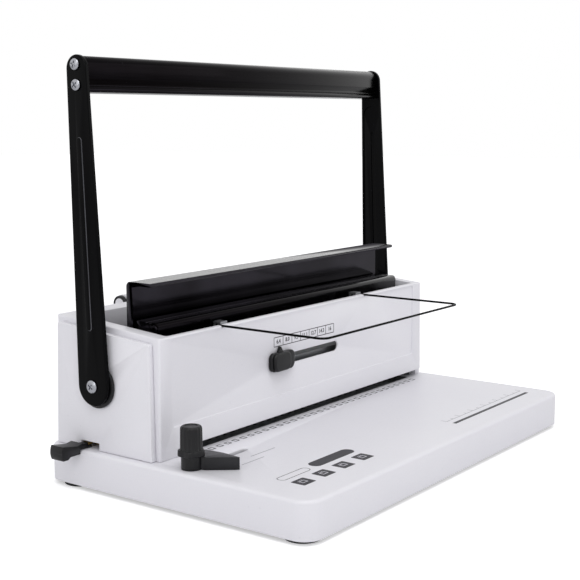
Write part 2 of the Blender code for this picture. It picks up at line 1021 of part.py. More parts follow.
def shaft_bushes():
    flange = frame_inner - seat_gap
    profile = [
        (flange - bush_flange_thick, bush_flange),
        (flange, bush_flange),
        (flange, bush_radius),
        (frame_inner + frame_thick, bush_radius),
    ]
    bush = lathe("shaft_bush_right", profile, (pivot_y, pivot_z), "X")
    bore = rod("bore", shaft_radius + seat_gap, 0, arm_inner, (pivot_y, pivot_z), "X")
    both_sides(cut(bush, bore), "shaft_bush_left", "brass", "machine")


def wire_clips():
    for name, x, side in (("wire_clip_left", wire_left, 1), ("wire_clip_right", wire_right, -1)):
        start = x + side * (wire_radius + slide_gap)
        end = start + side * clip_length
        low = wire_z - clip_below
        high = wire_z + clip_above
        clip = block(name, min(start, end), max(start, end), clip_front, clip_front + clip_depth, low, high)
        place = (wire_hinge_y, wire_z)
        wide = wire_radius + seat_gap
        left = min(start, end) - overrun
        right = max(start, end) + overrun
        bore = rod("bore", wide, left, right, place, "X", small_points)
        finish(cut(clip, bore), "dull_steel", "machine")


def carry_parts():
    place = (carry_y, carry_z)
    finish(rod("carry_bar", carry_radius, -carry_end, carry_end, place, "X"), "cover_white", "machine")
    inner = carry_end - carry_cap_length
    cap = rod("carry_cap_right", carry_cap_radius, inner, carry_end, place, "X")
    eye = rod("eye", carry_radius + seat_gap, inner - overrun, carry_end + overrun, place, "X")
    both_sides(cut(cap, eye), "carry_cap_left", "black_plastic", "machine")
    high = carry_z + carry_post_round
    outline = [(rear_y(carry_post_low) + seat_gap, carry_post_low)]
    outline += [(rear_y(carry_post_low) + cover_edge, carry_post_low)]
    outline += arc(carry_y, carry_z, carry_post_round, -30, 90, circle_points // 4)
    outline += [(rear_y(high) + seat_gap, high)]
    end = inner - seat_gap
    start = end - carry_post_length
    post = prism("carry_post_right", outline, start, end, "X")
    bore = rod("bore", carry_radius + seat_gap, start - overrun, end + overrun, place, "X")
    both_sides(cut(post, bore), "carry_post_left", "cover_white", "machine")


def stop_stud():
    head = arm_layer
    profile = [(floor_layer, stud_radius), (head, stud_radius), (head, stud_head)]
    profile.append((head + stud_head_thick, stud_head))
    stud = lathe("rocker_stud", profile, (rocker_x, rocker_y), "Z", small_points)
    finish(stud, "brass", "machine")


def arm_outline():
    return capsule(
        (pivot_y, pivot_z), (arm_head_y, arm_head_z), arm_foot_radius, arm_head_radius, circle_points // 4
    )


def rivet_places():
    return {"high": (arm_head_y, rivet_high_z), "low": (rivet_low_y, rivet_low_z)}


def on_arm(z):
    """Middle line of the arm at a height, and half its width there."""
    share = (z - pivot_z) / (arm_head_z - pivot_z)
    middle = (pivot_y + (arm_head_y - pivot_y) * share, z)
    return middle, arm_foot_radius + (arm_head_radius - arm_foot_radius) * share


def arm_rib(outer):
    """Raised rib on the outer face, narrower towards its crown."""
    low = on_arm(rib_low)[0]
    high = on_arm(rib_high)[0]
    rings = []
    crown = rib_half * rib_crown_share
    for x, half in ((outer - rib_rise, rib_half), (outer, rib_half), (outer + rib_rise, crown)):
        rings.append([(x, y, z) for y, z in capsule(low, high, half, half, corner_steps)])
    return loft("rib", rings)


def arm_hollows():
    """Shallow pan in the inner face, with a groove behind the rib."""
    low, low_half = on_arm(pan_low)
    high, high_half = on_arm(pan_high)
    pan = capsule(low, high, low_half - pan_wall, high_half - pan_wall, corner_steps)
    half = rib_half - groove_wall
    groove = capsule(on_arm(rib_low)[0], on_arm(rib_high)[0], half, half, corner_steps)
    floor = arm_inner + pan_deep
    return [
        prism("pan", pan, arm_inner - overrun, floor, "X"),
        prism("groove", groove, arm_inner - overrun, floor + groove_deep, "X"),
    ]


def handle_arms():
    outer = arm_inner + arm_thick
    arm = join(prism("arm_right", arm_outline(), arm_inner, outer, "X"), arm_rib(outer))
    start = arm_inner - overrun
    end = outer + overrun
    holes = [rod("bolt", bolt_shank + seat_gap, start, end, (pivot_y, pivot_z), "X")]
    for name, place in rivet_places().items():
        holes.append(rod(name, rivet_shank + seat_gap, start, end, place, "X", small_points))
    both_sides(cut(arm, *holes, *arm_hollows()), "arm_left", "black_enamel", "handle")


def bar_side(half_y, half_z):
    """Rear half of the bar's profile from foot to crown: lip, facet leaning back, face, rounded top."""
    side = [(half_y - bar_foot_chamfer, -half_z), (half_y, bar_foot_chamfer - half_z)]
    side += [(half_y, bar_lip_rise - half_z), (half_y - bar_facet_deep, bar_facet_rise - half_z)]
    side += [(half_y, bar_waist_rise - half_z)]
    side += arc(half_y - bar_round, half_z - bar_round, bar_round, 0, 90, corner_steps)
    return side


def handle_bar():
    half_y = bar_depth / 2
    half_z = (bar_high - bar_low) / 2
    side = bar_side(half_y, half_z)
    outline = side + [(-y, z) for y, z in reversed(side)]
    lean = math.radians(bar_lean_deg)
    centre = (bar_front + half_y, bar_low + half_z)
    turned = []
    for y, z in outline:
        turned.append(
            (
                centre[0] + y * math.cos(lean) + z * math.sin(lean),
                centre[1] + z * math.cos(lean) - y * math.sin(lean),
            )
        )
    half_x = arm_inner - seat_gap
    bar = prism("handle_bar", turned, -half_x, half_x, "X")
    deep = arm_inner + seat_gap - rivet_depth
    holes = []
    for name, place in rivet_places().items():
        bore = rivet_shank + seat_gap
        holes.append(rod(name, bore, deep - seat_gap, half_x + overrun, place, "X", small_points))
        holes.append(rod(name, bore, -half_x - overrun, seat_gap - deep, place, "X", small_points))
    finish(cut(bar, *holes), "black_anodised", "handle")


def headed_pin(name, place, shank, head, head_thick, depth, count):
    """Pin whose head rests on the outside of the right arm."""
    under = arm_inner + arm_thick + seat_gap
    profile = [(under - arm_thick - depth, shank), (under, shank), (under, head)]
    profile.append((under + head_thick / 2, head * head_shoulder_share))
    profile.append((under + head_thick, head * head_crown_share))
    return lathe(name, profile, place, "X", count)


def handle_rivets():
    depth = rivet_depth - arm_thick / 2
    for name, place in rivet_places().items():
        right = "rivet_" + name + "_right"
        pin = headed_pin(right, place, rivet_shank, rivet_head, bolt_head_thick, depth, small_points)
        both_sides(pin, "rivet_" + name + "_left", "bright_steel", "handle")


def pivot_bolts():
    right = "pivot_bolt_right"
    place = (pivot_y, pivot_z)
    bolt = headed_pin(right, place, bolt_shank, bolt_head, bolt_head_thick, bolt_depth / 2, small_points)
    both_sides(bolt, "pivot_bolt_left", "bright_steel", "handle")


def boss_discs():
    outer = arm_inner - seat_gap
    disc = rod("boss_disc_right", boss_radius, outer - boss_thick, outer, (pivot_y, pivot_z), "X")
    bore = rod("bore", shaft_radius + seat_gap, 0, arm_inner, (pivot_y, pivot_z), "X")
    both_sides(cut(disc, bore), "boss_disc_left", "black_plastic", "handle")


def main_shaft():
    shaft = rod("main_shaft", shaft_radius, -shaft_end, shaft_end, (pivot_y, pivot_z), "X")
    deep = arm_inner - bolt_depth
    bore = bolt_shank + seat_gap
    holes = [
        rod("right", bore, deep, arm_inner + overrun, (pivot_y, pivot_z), "X", small_points),
        rod("left", bore, -arm_inner - overrun, -deep, (pivot_y, pivot_z), "X", small_points),
    ]
    finish(cut(shaft, *holes), "bright_steel", "handle")


def involute(angle):
    return math.tan(angle) - angle


def gear_outline():
    """Involute teeth, with a gap turned to the front where the racks stand."""
    flank = math.radians(flank_deg)
    base = gear_pitch_radius * math.cos(flank)
    root = gear_pitch_radius - tooth_add - tooth_play
    tip = gear_pitch_radius + tooth_add
    half_angle = tooth_half / gear_pitch_radius
    radii = [root] + [base + (tip - base) * k / flank_steps for k in range(flank_steps + 1)]
    rising = []
    for radius in radii:
        roll = math.acos(min(1.0, base / radius))
        rising.append((radius, half_angle + involute(flank) - involute(roll)))
    outline = []
    for tooth in range(gear_teeth):
        middle = math.pi + math.tau * (tooth + 0.5) / gear_teeth
        for radius, half in rising:
            outline.append((radius, middle - half))
        for radius, half in reversed(rising):
            outline.append((radius, middle + half))
    return [(pivot_y + r * math.cos(a), pivot_z + r * math.sin(a)) for r, a in outline]


def drive_gears():
    gear = prism("drive_gear_right", gear_outline(), gear_inner, gear_outer, "X")
    bore = rod("bore", shaft_radius + seat_gap, 0, arm_inner, (pivot_y, pivot_z), "X")
    both_sides(cut(gear, bore), "drive_gear_left", "dull_steel", "handle")


def rack_edge(low, high):
    """Toothed rear edge from low to high; the tooth tips lie in the plane of the press plate's rear."""
    slope = math.tan(math.radians(flank_deg))
    root_y = rack_line_y - tooth_add - tooth_play
    root_half = tooth_half + (tooth_add + tooth_play) * slope
    tip_half = tooth_half - tooth_add * slope
    first = pivot_z - rack_teeth_down * tooth_pitch
    edge = [(press_rear, low)]
    start = first - tooth_pitch / 2
    edge.append((press_rear, start))
    edge.append((root_y, start))
    for k in range(rack_teeth_down + rack_teeth_up + 1):
        z = first + k * tooth_pitch
        edge += [(root_y, z - root_half), (press_rear, z - tip_half)]
        edge += [(press_rear, z + tip_half), (root_y, z + root_half)]
    end = first + (rack_teeth_down + rack_teeth_up + 0.5) * tooth_pitch
    edge += [(root_y, end), (press_rear, end), (press_rear, high)]
    return edge


def punch_bar():
    top = punch_bar_low + punch_bar_height
    rear = punch_bar_front + punch_bar_depth
    bar = block("punch_bar", -punch_bar_half, punch_bar_half, punch_bar_front, rear, punch_bar_low, top)
    half = pin_side / 2
    pins = [
        block("pin", x - half, x + half, punch_y - half, punch_y + half, pin_low, punch_bar_low + half)
        for x in hole_places()
    ]
    finish(join(bar, many("pins", pins)), "dull_steel", "punch")


def punch_racks():
    start = punch_bar_front + punch_bar_depth + seat_gap
    outline = rack_edge(punch_bar_low, leg_top) + [(start, leg_top), (start, punch_bar_low)]
    rack = prism("punch_rack_right", outline, gear_middle + seat_gap, gear_outer, "X")
    both_sides(rack, "punch_rack_left", "dull_steel", "punch")


def helix(name, x, y, low, high):
    """Round wire wound up the Z axis."""
    rings = []
    steps = spring_turns * ring_points
    for k in range(steps + 1):
        turn = math.tau * k / ring_points
        z = low + spring_wire + (high - low - 2 * spring_wire) * k / steps
        ring = []
        for s in range(wire_sides):
            around = math.tau * s / wire_sides
            reach = spring_radius + spring_wire * math.cos(around)
            rise = spring_wire * math.sin(around)
            ring.append((x + reach * math.cos(turn), y + reach * math.sin(turn), z + rise))
        rings.append(ring)
    return loft(name, rings)


def return_springs():
    low = base_top + seat_gap
    high = punch_bar_low - seat_gap
    finish(helix("return_spring_right", spring_x, spring_y, low, high), "bright_steel", "punch")
    finish(helix("return_spring_left", -spring_x, spring_y, low, high), "bright_steel", "punch")


def press_plate():
    front = press_rear - press_thick
    outline = [(front, press_low), (press_rear, press_low)]
    outline += arc(press_rear - press_round, press_high - press_round, press_round, 0, 90, edge_steps)
    tip = press_lip_thick / 2
    outline += arc(press_lip_front + tip, press_high - tip, tip, 90, 270, edge_steps)
    under = press_high - press_lip_thick - press_inner_round
    outline += arc(front - press_inner_round, under, press_inner_round, 90, 0, edge_steps)
    plate = prism("press_plate", outline, -press_half, press_half, "X")
    edge = rack_edge(tongue_low, press_low + overrun)
    tongue = edge + [(front, press_low + overrun), (front, tongue_low)]
    right = prism("right", tongue, gear_inner, gear_middle - seat_gap, "X")
    left = mirrored(right, "left")
    finish(join(plate, right, left), "black_anodised", "press")


def selector_knob():
    r = knob_corner
    outline = arc(knob_right - r, knob_low + r, r, -90, 0, corner_steps)
    outline += arc(knob_right - r, knob_high - r, r, 0, 90, corner_steps)
    outline += [(knob_middle + knob_pointer_half, knob_high), (knob_middle, knob_high + knob_pointer_rise)]
    outline += [(knob_middle - knob_pointer_half, knob_high)]
    outline += arc(knob_left + r, knob_high - r, r, 90, 180, corner_steps)
    outline += arc(knob_left + r, knob_low + r, r, 180, 270, corner_steps)
    face = front_y(slot_low) + inset_deep - seat_gap
    plate = prism("selector_knob", outline, knob_front, face, "Y")
    ridge = rounded(grip_left, grip_right, knob_low, knob_high, r)
    grip = prism("grip", ridge, grip_front, knob_front + seat_gap, "Y")
    left = knob_middle - knob_neck_half
    right = knob_middle + knob_neck_half
    rear = slider_front() - seat_gap
    neck = block("neck", left, right, knob_front, rear, slot_low + slide_gap, slot_high - slide_gap)
    finish(join(plate, grip, neck), "black_plastic", "selector")


def slider_front():
    return front_y(slider_high) + cover_wall + seat_gap


def selector_slider():
    """Plate behind the cover, with a stair of stops on its back, one for each wire size."""
    y0 = slider_front()
    y1 = y0 + slider_thick
    half = (knob_right - knob_left) / 2 + slider_margin / 2
    left = knob_middle - half
    plate = block("selector_slider", left, knob_middle + half, y0, y1, slider_low, slider_high)
    steps = []
    width = 2 * half / step_count
    rise = (slider_high - slider_low) / (step_count + 1)
    for k in range(step_count):
        start = left + k * width
        steps.append(
            block(
                "step", start, start + width, y1 - slider_thick / 2, y1 + step_depth, slider_low,
                slider_high - (k + 1) * rise,
            )
        )
    finish(join(plate, *steps), "brass", "selector")


def bent_path():
    """Run of the wire support in plan, with its bends rounded."""
    left_end = wire_left + wire_foot
    right_end = wire_right - wire_foot
    small = 2 * wire_radius
    path = [(left_end, wire_hinge_y)]
    path += arc(wire_left + small, wire_hinge_y - small, small, 90, 180, edge_steps)
    path += arc(wire_left + wire_bend, wire_front + wire_bend, wire_bend, 180, 270, corner_steps)
    path += arc(wire_right - wire_bend, wire_front + wire_bend, wire_bend, 270, 360, corner_steps)
    path += arc(wire_right - small, wire_hinge_y - small, small, 0, 90, edge_steps)
    path += [(right_end, wire_hinge_y)]
    return path


def wire_support():
    path = bent_path()
    rings = []
    for k, (x, y) in enumerate(path):
        before = path[max(k - 1, 0)]
        after = path[min(k + 1, len(path) - 1)]
        run = Vector((after[0] - before[0], after[1] - before[1]))
        side = Vector((run.y, -run.x)).normalized()
        ring = []
        for s in range(small_points // 2):
            around = math.tau * s / (small_points // 2)
            reach = wire_radius * math.cos(around)
            ring.append((x + side.x * reach, y + side.y * reach, wire_z + wire_radius * math.sin(around)))
        rings.append(ring)
    finish(loft("wire_support", rings), "black_enamel", "support")


def lever_outline():
    """The lever seen from the front: arched outer end, heel below it, step over the tray's edge."""
    half = (lever_grip_high - lever_grip_low) / 2
    arch = (half * half + lever_end_bulge * lever_end_bulge) / (2 * lever_end_bulge)
    spread = math.degrees(math.asin(half / arch))
    middle = lever_grip_low + half
    step = -base_half_x - 2 * seat_gap
    heel = lever_heel_length + lever_end_bulge - lever_grip_outer
    under = base_top - lever_under_drop
    waist = (-lever_inner - lever_waist_out, base_top + lever_waist_rise)
    outline = [waist, (-lever_inner, base_top + lever_inner_rise), (-lever_inner, lever_neck_low)]
    outline += [(step, lever_neck_low), (step, under)]
    outline += [(heel + lever_heel_slope, under), (heel, lever_grip_low)]
    outline += arc(arch - lever_grip_outer, middle, arch, 180 + spread, 180 - spread, corner_steps)
    return outline


def margin_lever():
    grip = prism("margin_lever", lever_outline(), lever_neck_front, lever_grip_rear, "Y")
    front = lever_neck_front
    rear = lever_neck_rear
    start = -lever_inner - slide_gap
    neck = block("neck", start, -lever_neck_end, front, rear, lever_neck_low, lever_neck_high)
    start = -lever_neck_end - slide_gap
    ledge = block("ledge", start, -cover_half, front, rear, lever_neck_low, arm_layer - seat_gap)
    finish(join(grip, neck, ledge), "black_plastic", "margin")


def margin_arm():
    inner = lever_pin_x + lever_arm_half
    front = lever_pin_y - lever_arm_half
    rear = lever_pin_y + lever_arm_half
    high = arm_layer + lever_plate_thick
    arm = block("margin_arm", seat_gap - lever_neck_end, inner, front, rear, arm_layer, high)
    middle = arm_layer + lever_plate_thick / 2
    pin = rod("pin", pin_radius, floor_layer, middle, (lever_pin_x, lever_pin_y), "Z", small_points)
    finish(join(arm, pin), "brass", "margin")


def turned(outline, cx, cy):
    return [
        (cx + u * rocker_cos + v * rocker_sin, cy - u * rocker_sin + v * rocker_cos) for u, v in outline
    ]


def rocker_cut(name, near, far):
    radius = pin_radius + pin_slot_play
    outline = capsule((near, 0), (far, 0), radius, radius, corner_steps)
    high = floor_layer + rocker_thick + overrun
    return prism(name, turned(outline, rocker_x, rocker_y), floor_layer - overrun, high)


def stop_rocker():
    outline = capsule((-rocker_long, 0), (rocker_short, 0), rocker_end, rocker_tail, corner_steps)
    shape = turned(outline, rocker_x, rocker_y)
    plate = prism("stop_rocker", shape, floor_layer, floor_layer + rocker_thick)
    low = floor_layer - overrun
    high = floor_layer + overrun
    bore = rod("bore", stud_radius + seat_gap, low, high, (rocker_x, rocker_y), "Z", small_points)
    long_slot = rocker_cut("long_slot", -rocker_long - seat_gap, seat_gap - rocker_long * rocker_cos)
    short_slot = rocker_cut("short_slot", rocker_short * rocker_cos - seat_gap, rocker_short + seat_gap)
    finish(cut(plate, bore, long_slot, short_slot), "brass", "rocker")


def paper_stop():
    rear = stop_front + stop_depth
    top = floor_layer + stop_height
    bar = block("paper_stop", stop_left, stop_right, stop_front, rear, floor_layer, top)
    left = stop_pin_x - stop_tail_half
    right = stop_pin_x + stop_tail_half
    end = stop_pin_y + stop_tail_half
    high = arm_layer + lever_plate_thick
    tail = block("tail", left, right, rear - stop_depth / 2, end, arm_layer, high)
    middle = arm_layer + lever_plate_thick / 2
    pin = rod("pin", pin_radius, floor_layer, middle, (stop_pin_x, stop_pin_y), "Z", small_points)
    finish(join(bar, tail, pin), "dull_steel", "stop")


def edge_guide():
    low = base_top + seat_gap
    high = base_top + guide_rise
    disc = rod("edge_guide", guide_disc, low, high, (guide_x, guide_y), "Z")
    outline = [
        (guide_heel_x, guide_heel_y),
        (guide_stop_front_x, guide_stop_front_y),
        (guide_stop_x, (guide_stop_front_y + guide_stop_rear_y) / 2),
        (guide_stop_x - slide_gap, guide_stop_rear_y),
        (guide_x, guide_y + guide_disc / 2),
    ]
    wedge = prism("wedge", outline, low, high)
    wide = stem_radius + seat_gap
    bore = rod("bore", wide, low - overrun, high + overrun, (guide_x, guide_y), "Z", small_points)
    finish(cut(join(disc, wedge), bore), "black_plastic", "guide")


def clamp_nut():
    high = ceiling - nut_drop
    nut = block(
        "clamp_nut", guide_x - nut_half_x, guide_x + nut_half_x, guide_y - nut_half_y, guide_y + nut_half_y,
        high - nut_height, high,
    )
    wide = stem_radius + seat_gap
    low = high - nut_height - overrun
    bore = rod("bore", wide, low, high + overrun, (guide_x, guide_y), "Z", small_points)
    finish(cut(nut, bore), "dull_steel", "guide")


def knob_ring(z, shape):
    ring = []
    for k in range(collar_points):
        turn = math.tau * k / collar_points
        radius = shape(k, turn)
        ring.append((guide_x + radius * math.cos(turn), guide_y + radius * math.sin(turn), z))
    return ring


def clamp_knob():
    low = base_top + guide_rise + seat_gap
    swell = (collar_radius - collar_valley) / 2
    bevel = knob_rib_deep * 2

    def lobed(trim):
        return lambda k, turn: collar_valley - trim + swell * (1 + math.cos(collar_lobes * turn))

    def ribbed(radius):
        return lambda k, turn: radius - knob_rib_deep * (k % 2)

    def plain(radius):
        return lambda k, turn: radius

    rings = [
        knob_ring(ceiling - nut_height - stem_radius, plain(stem_radius)),
        knob_ring(low, plain(stem_radius)),
        knob_ring(low, lobed(bevel)),
        knob_ring(low + bevel, lobed(0)),
        knob_ring(collar_high - bevel, lobed(0)),
        knob_ring(collar_high, lobed(bevel)),
        knob_ring(collar_high, ribbed(knob_foot_radius - knob_rib_deep)),
        knob_ring(knob_top - 2 * bevel, ribbed(knob_head_radius)),
        knob_ring(knob_top, plain(knob_cap_radius)),
    ]
    finish(loft("clamp_knob", rings), "black_plastic", "clamp")


def chip_drawer():
    low = plate_top + seat_gap
    inside = base_half_x - base_wall
    box = block("chip_drawer", drawer_left, inside, drawer_front_y, drawer_rear_y, low, drawer_top)
    face = block(
        "face", drawer_face_x - drawer_face_thick, drawer_face_x, drawer_front_y - seat_gap,
        drawer_rear_y + seat_gap, low, drawer_top + seat_gap,
    )
    middle = (drawer_front_y + drawer_rear_y) / 2
    grip = block(
        "grip", drawer_face_x - drawer_wall, drawer_face_x + drawer_grip_deep, middle - drawer_grip_half,
        middle + drawer_grip_half, low + drawer_grip_low, low + drawer_grip_low + drawer_grip_deep,
    )
    start = drawer_left + drawer_wall
    end = drawer_face_x - drawer_face_thick
    front = drawer_front_y + drawer_wall
    rear = drawer_rear_y - drawer_wall
    room = block("room", start, end, front, rear, low + drawer_wall, drawer_top + overrun)
    finish(cut(join(box, face, grip), room), "black_plastic", "drawer")


def place_pivots():
    machine = pivot("machine", (0, 0, 0))
    machine.location = (middle_shift, depth_shift, 0)
    pivot("handle", (0, pivot_y, pivot_z), "machine")
    pivot("punch", (0, punch_y, punch_bar_low), "machine")
    pivot("press", (0, rack_line_y, press_low), "machine")
    pivot("selector", (knob_middle, cover_front, (slot_low + slot_high) / 2), "machine")
    pivot("support", (0, wire_hinge_y, wire_z), "machine")
    pivot("margin", (lever_pin_x, lever_pin_y, floor_layer), "machine")
    pivot("rocker", (rocker_x, rocker_y, floor_layer), "machine")
    pivot("stop", (stop_pin_x, stop_pin_y, floor_layer), "machine")
    pivot("guide", (guide_x, guide_y, base_top), "machine")
    pivot("clamp", (guide_x, guide_y, base_top), "guide")
    pivot("drawer", (0, (drawer_front_y + drawer_rear_y) / 2, plate_top), "machine")


def main():
    clear_file()
    make_materials()
    place_pivots()
    base_tray()
    base_plate()
    feet()
    body_cover()
    side_panel("side_panel_left", -1)
    side_panel("side_panel_right", 1)
    side_frame("side_frame_left", -1)
    side_frame("side_frame_right", 1)
    die_plate()
    punch_guide()
    anvil_rail()
    rail_screws()
    shaft_bushes()
    wire_clips()
    carry_parts()
    stop_stud()
    handle_arms()
    handle_bar()
    handle_rivets()
    pivot_bolts()
    boss_discs()
    main_shaft()
    drive_gears()
    punch_bar()
    punch_racks()
    return_springs()
    press_plate()
    selector_knob()
    selector_slider()
    wire_support()
    margin_lever()
    margin_arm()
    stop_rocker()
    paper_stop()
    edge_guide()
    clamp_nut()
    clamp_knob()
    chip_drawer()


main()
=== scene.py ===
import math
from math import cos, radians, sin, tau

import bmesh
import bpy
from mathutils import Matrix, Vector

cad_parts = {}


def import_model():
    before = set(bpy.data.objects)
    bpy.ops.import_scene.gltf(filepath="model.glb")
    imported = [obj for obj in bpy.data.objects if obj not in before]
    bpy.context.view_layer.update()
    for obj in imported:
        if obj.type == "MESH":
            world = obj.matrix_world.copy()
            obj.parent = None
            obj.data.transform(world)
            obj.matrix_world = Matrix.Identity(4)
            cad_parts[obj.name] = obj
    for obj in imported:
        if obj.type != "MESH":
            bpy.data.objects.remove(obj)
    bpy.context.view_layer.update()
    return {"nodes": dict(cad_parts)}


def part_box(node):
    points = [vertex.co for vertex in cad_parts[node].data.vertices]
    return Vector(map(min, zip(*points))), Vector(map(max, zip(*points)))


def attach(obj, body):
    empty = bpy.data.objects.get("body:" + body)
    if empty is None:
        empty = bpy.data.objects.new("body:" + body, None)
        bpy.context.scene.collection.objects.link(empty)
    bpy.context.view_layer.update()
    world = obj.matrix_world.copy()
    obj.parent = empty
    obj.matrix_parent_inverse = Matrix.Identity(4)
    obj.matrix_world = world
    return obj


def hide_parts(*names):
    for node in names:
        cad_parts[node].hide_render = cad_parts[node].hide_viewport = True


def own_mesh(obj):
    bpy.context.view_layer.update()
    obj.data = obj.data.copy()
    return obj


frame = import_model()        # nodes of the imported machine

# Wire binding machine on a white table: finer pieces and finishes over the imported parts.
# Lengths are in millimetres on the machine's own axes: X to the right, Y to the rear, Z up.
mm = 0.001
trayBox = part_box("base_tray")
middleShift = (trayBox[0].x + trayBox[1].x) / 2 / mm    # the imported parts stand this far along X
depthShift = (trayBox[0].y + trayBox[1].y) / 2 / mm     # and this far along Y
seatGap = 0.3         # room between pieces that rest on each other
overrun = 4           # how far a cutting body reaches past what it cuts
lap = 0.5             # how far joined bodies reach into each other
weldReach = 0.002     # points closer than this count as one
print("frame loaded,", len(frame["nodes"]), "nodes")

studio = {
    "cameraPlace": (-706.32, -493.85, 247.91),
    "azimuth": -53.34, "elevation": 8.26, "roll": -0.185,
    "lens": 73.02, "sensor": 36.0, "clip": (0.01, 50),
    "backdrop": "#ffffff",
    "ambient": 0.64,                 # light of the room on the object
    "floorColour": "#f4f4f6", "floorHalf": 6000, "floorShader": {"Roughness": 0.9, "Specular IOR Level": 0.1},
    # the floor far from the lamps is lifted to white: near and far strength, near and far distance
    "floorGlow": (0.42, 0.60), "glowReach": (450, 2200),
    # place, aim, width, height, watts
    "lamps": {
        "key_softbox": ((-1300, -900, 1250), (0, 0, 120), 900, 900, 4.9),
        "fill_softbox": ((900, -1600, 800), (0, 0, 100), 1200, 900, 2.8),
        "top_softbox": ((-350, -500, 1500), (0, 40, 60), 1100, 800, 6.2),
        "left_softbox": ((-1500, 150, 500), (-170, 40, 120), 700, 700, 1.3),
    },
}


def pick(values, names):
    return [values[name] for name in names.split()]


def linear(code):    # sRGB hex to the linear colour that shaders take
    values = [int(code[k:k + 2], 16) / 255 for k in (1, 3, 5)]
    return [v / 12.92 if v <= 0.04045 else ((v + 0.055) / 1.055) ** 2.4 for v in values] + [1.0]


def addNode(tree, kind, settings=None, inputs=None):
    made = tree.nodes.new(kind)
    for key, value in (settings or {}).items():
        setattr(made, key, value)
    for key, value in (inputs or {}).items():
        if isinstance(value, bpy.types.NodeSocket):
            tree.links.new(value, made.inputs[key])
        else:
            made.inputs[key].default_value = value
    return made


def ranged(tree, value, fromLow, fromHigh, toLow, toHigh):
    return addNode(tree, "ShaderNodeMapRange", inputs={
        0: value, 1: fromLow, 2: fromHigh, 3: toLow, 4: toHigh}).outputs[0]


def worked(tree, operation, one, other, clamp=False):
    settings = {"operation": operation, "use_clamp": clamp}
    return addNode(tree, "ShaderNodeMath", settings, {0: one, 1: other}).outputs[0]


def shaderOf(material, values):
    material.use_nodes = True
    shader = material.node_tree.nodes["Principled BSDF"]
    for socket, value in values.items():
        shader.inputs[socket].default_value = value
    return material.node_tree, shader


def addObject(name, data):
    made = bpy.data.objects.new(name, data)
    bpy.context.scene.collection.objects.link(made)
    return made


def viewAxes(azimuth, elevation, roll):
    a, e, r = (radians(v) for v in (azimuth, elevation, roll))
    back = Vector((sin(a) * cos(e), -cos(a) * cos(e), sin(e)))
    right = Vector((cos(a), sin(a), 0))
    up = back.cross(right)
    return right * cos(r) + up * sin(r), up * cos(r) - right * sin(r), back


def world(x, y, z):
    return Vector(((x + middleShift) * mm, (y + depthShift) * mm, z * mm))


def corners(x0, x1, y0, y1):
    return [(x0, y0), (x1, y0), (x1, y1), (x0, y1)]


def addCamera():
    data = bpy.data.cameras.new("camera")
    data.lens, data.sensor_width, data.sensor_fit = studio["lens"], studio["sensor"], "HORIZONTAL"
    data.clip_start, data.clip_end = studio["clip"]
    camera = addObject("camera", data)
    right, up, back = viewAxes(studio["azimuth"], studio["elevation"], studio["roll"])
    turn = Matrix((right, up, back)).transposed().to_4x4()
    camera.matrix_world = Matrix.Translation(world(*studio["cameraPlace"])) @ turn
    bpy.context.scene.camera = camera


def addLamps():
    for name, (place, aim, width, height, watts) in studio["lamps"].items():
        data = bpy.data.lights.new(name, "AREA")
        data.shape, data.size, data.size_y, data.energy = "RECTANGLE", width * mm, height * mm, watts
        lamp = addObject(name, data)
        lamp.location = world(*place)
        lamp.rotation_euler = (world(*aim) - world(*place)).to_track_quat("-Z", "Y").to_euler()


def addRoom():    # white to the camera and in reflections, softer as light on the object
    room = bpy.data.worlds.new("white_room")
    room.use_nodes = True
    bpy.context.scene.world = room
    tree = room.node_tree
    back = tree.nodes["Background"]
    back.inputs["Color"].default_value = linear(studio["backdrop"])
    rays = addNode(tree, "ShaderNodeLightPath").outputs
    seen = worked(tree, "ADD", rays["Is Camera Ray"], rays["Is Glossy Ray"], clamp=True)
    seen = worked(tree, "ADD", seen, rays["Is Transmission Ray"], clamp=True)
    tree.links.new(ranged(tree, seen, 0.0, 1.0, studio["ambient"], 1.0), back.inputs["Strength"])


def addFloor():
    half = studio["floorHalf"] * mm
    mesh = bpy.data.meshes.new("floor")
    mesh.from_pydata([(x, y, 0) for x, y in corners(-half, half, -half, half)], [], [(0, 1, 2, 3)])
    floor = addObject("floor", mesh)
    material = bpy.data.materials.new("white_paper_floor")
    tree, shader = shaderOf(material, studio["floorShader"])
    shader.inputs["Base Color"].default_value = linear(studio["floorColour"])
    seen = addNode(tree, "ShaderNodeLightPath").outputs["Is Camera Ray"]
    spot = addNode(tree, "ShaderNodeNewGeometry").outputs["Position"]
    reach = addNode(tree, "ShaderNodeVectorMath", {"operation": "LENGTH"}, {0: spot}).outputs["Value"]
    near, far = studio["glowReach"]
    glow = worked(tree, "MULTIPLY", seen, ranged(tree, reach, near * mm, far * mm, *studio["floorGlow"]))
    shader.inputs["Emission Color"].default_value = linear(studio["backdrop"])
    tree.links.new(glow, shader.inputs["Emission Strength"])
    mesh.materials.append(material)


addCamera()
addLamps()
addRoom()
addFloor()
bpy.context.scene.view_settings.view_transform = "Standard"
print("camera, lamps and floor placed")

# which part of each texture's range takes effect
spans = {"grain": (0.35, 0.65), "speck": (0.04, 0.09), "edge": (0.54, 0.62), "rough": (0.7, 1.3)}


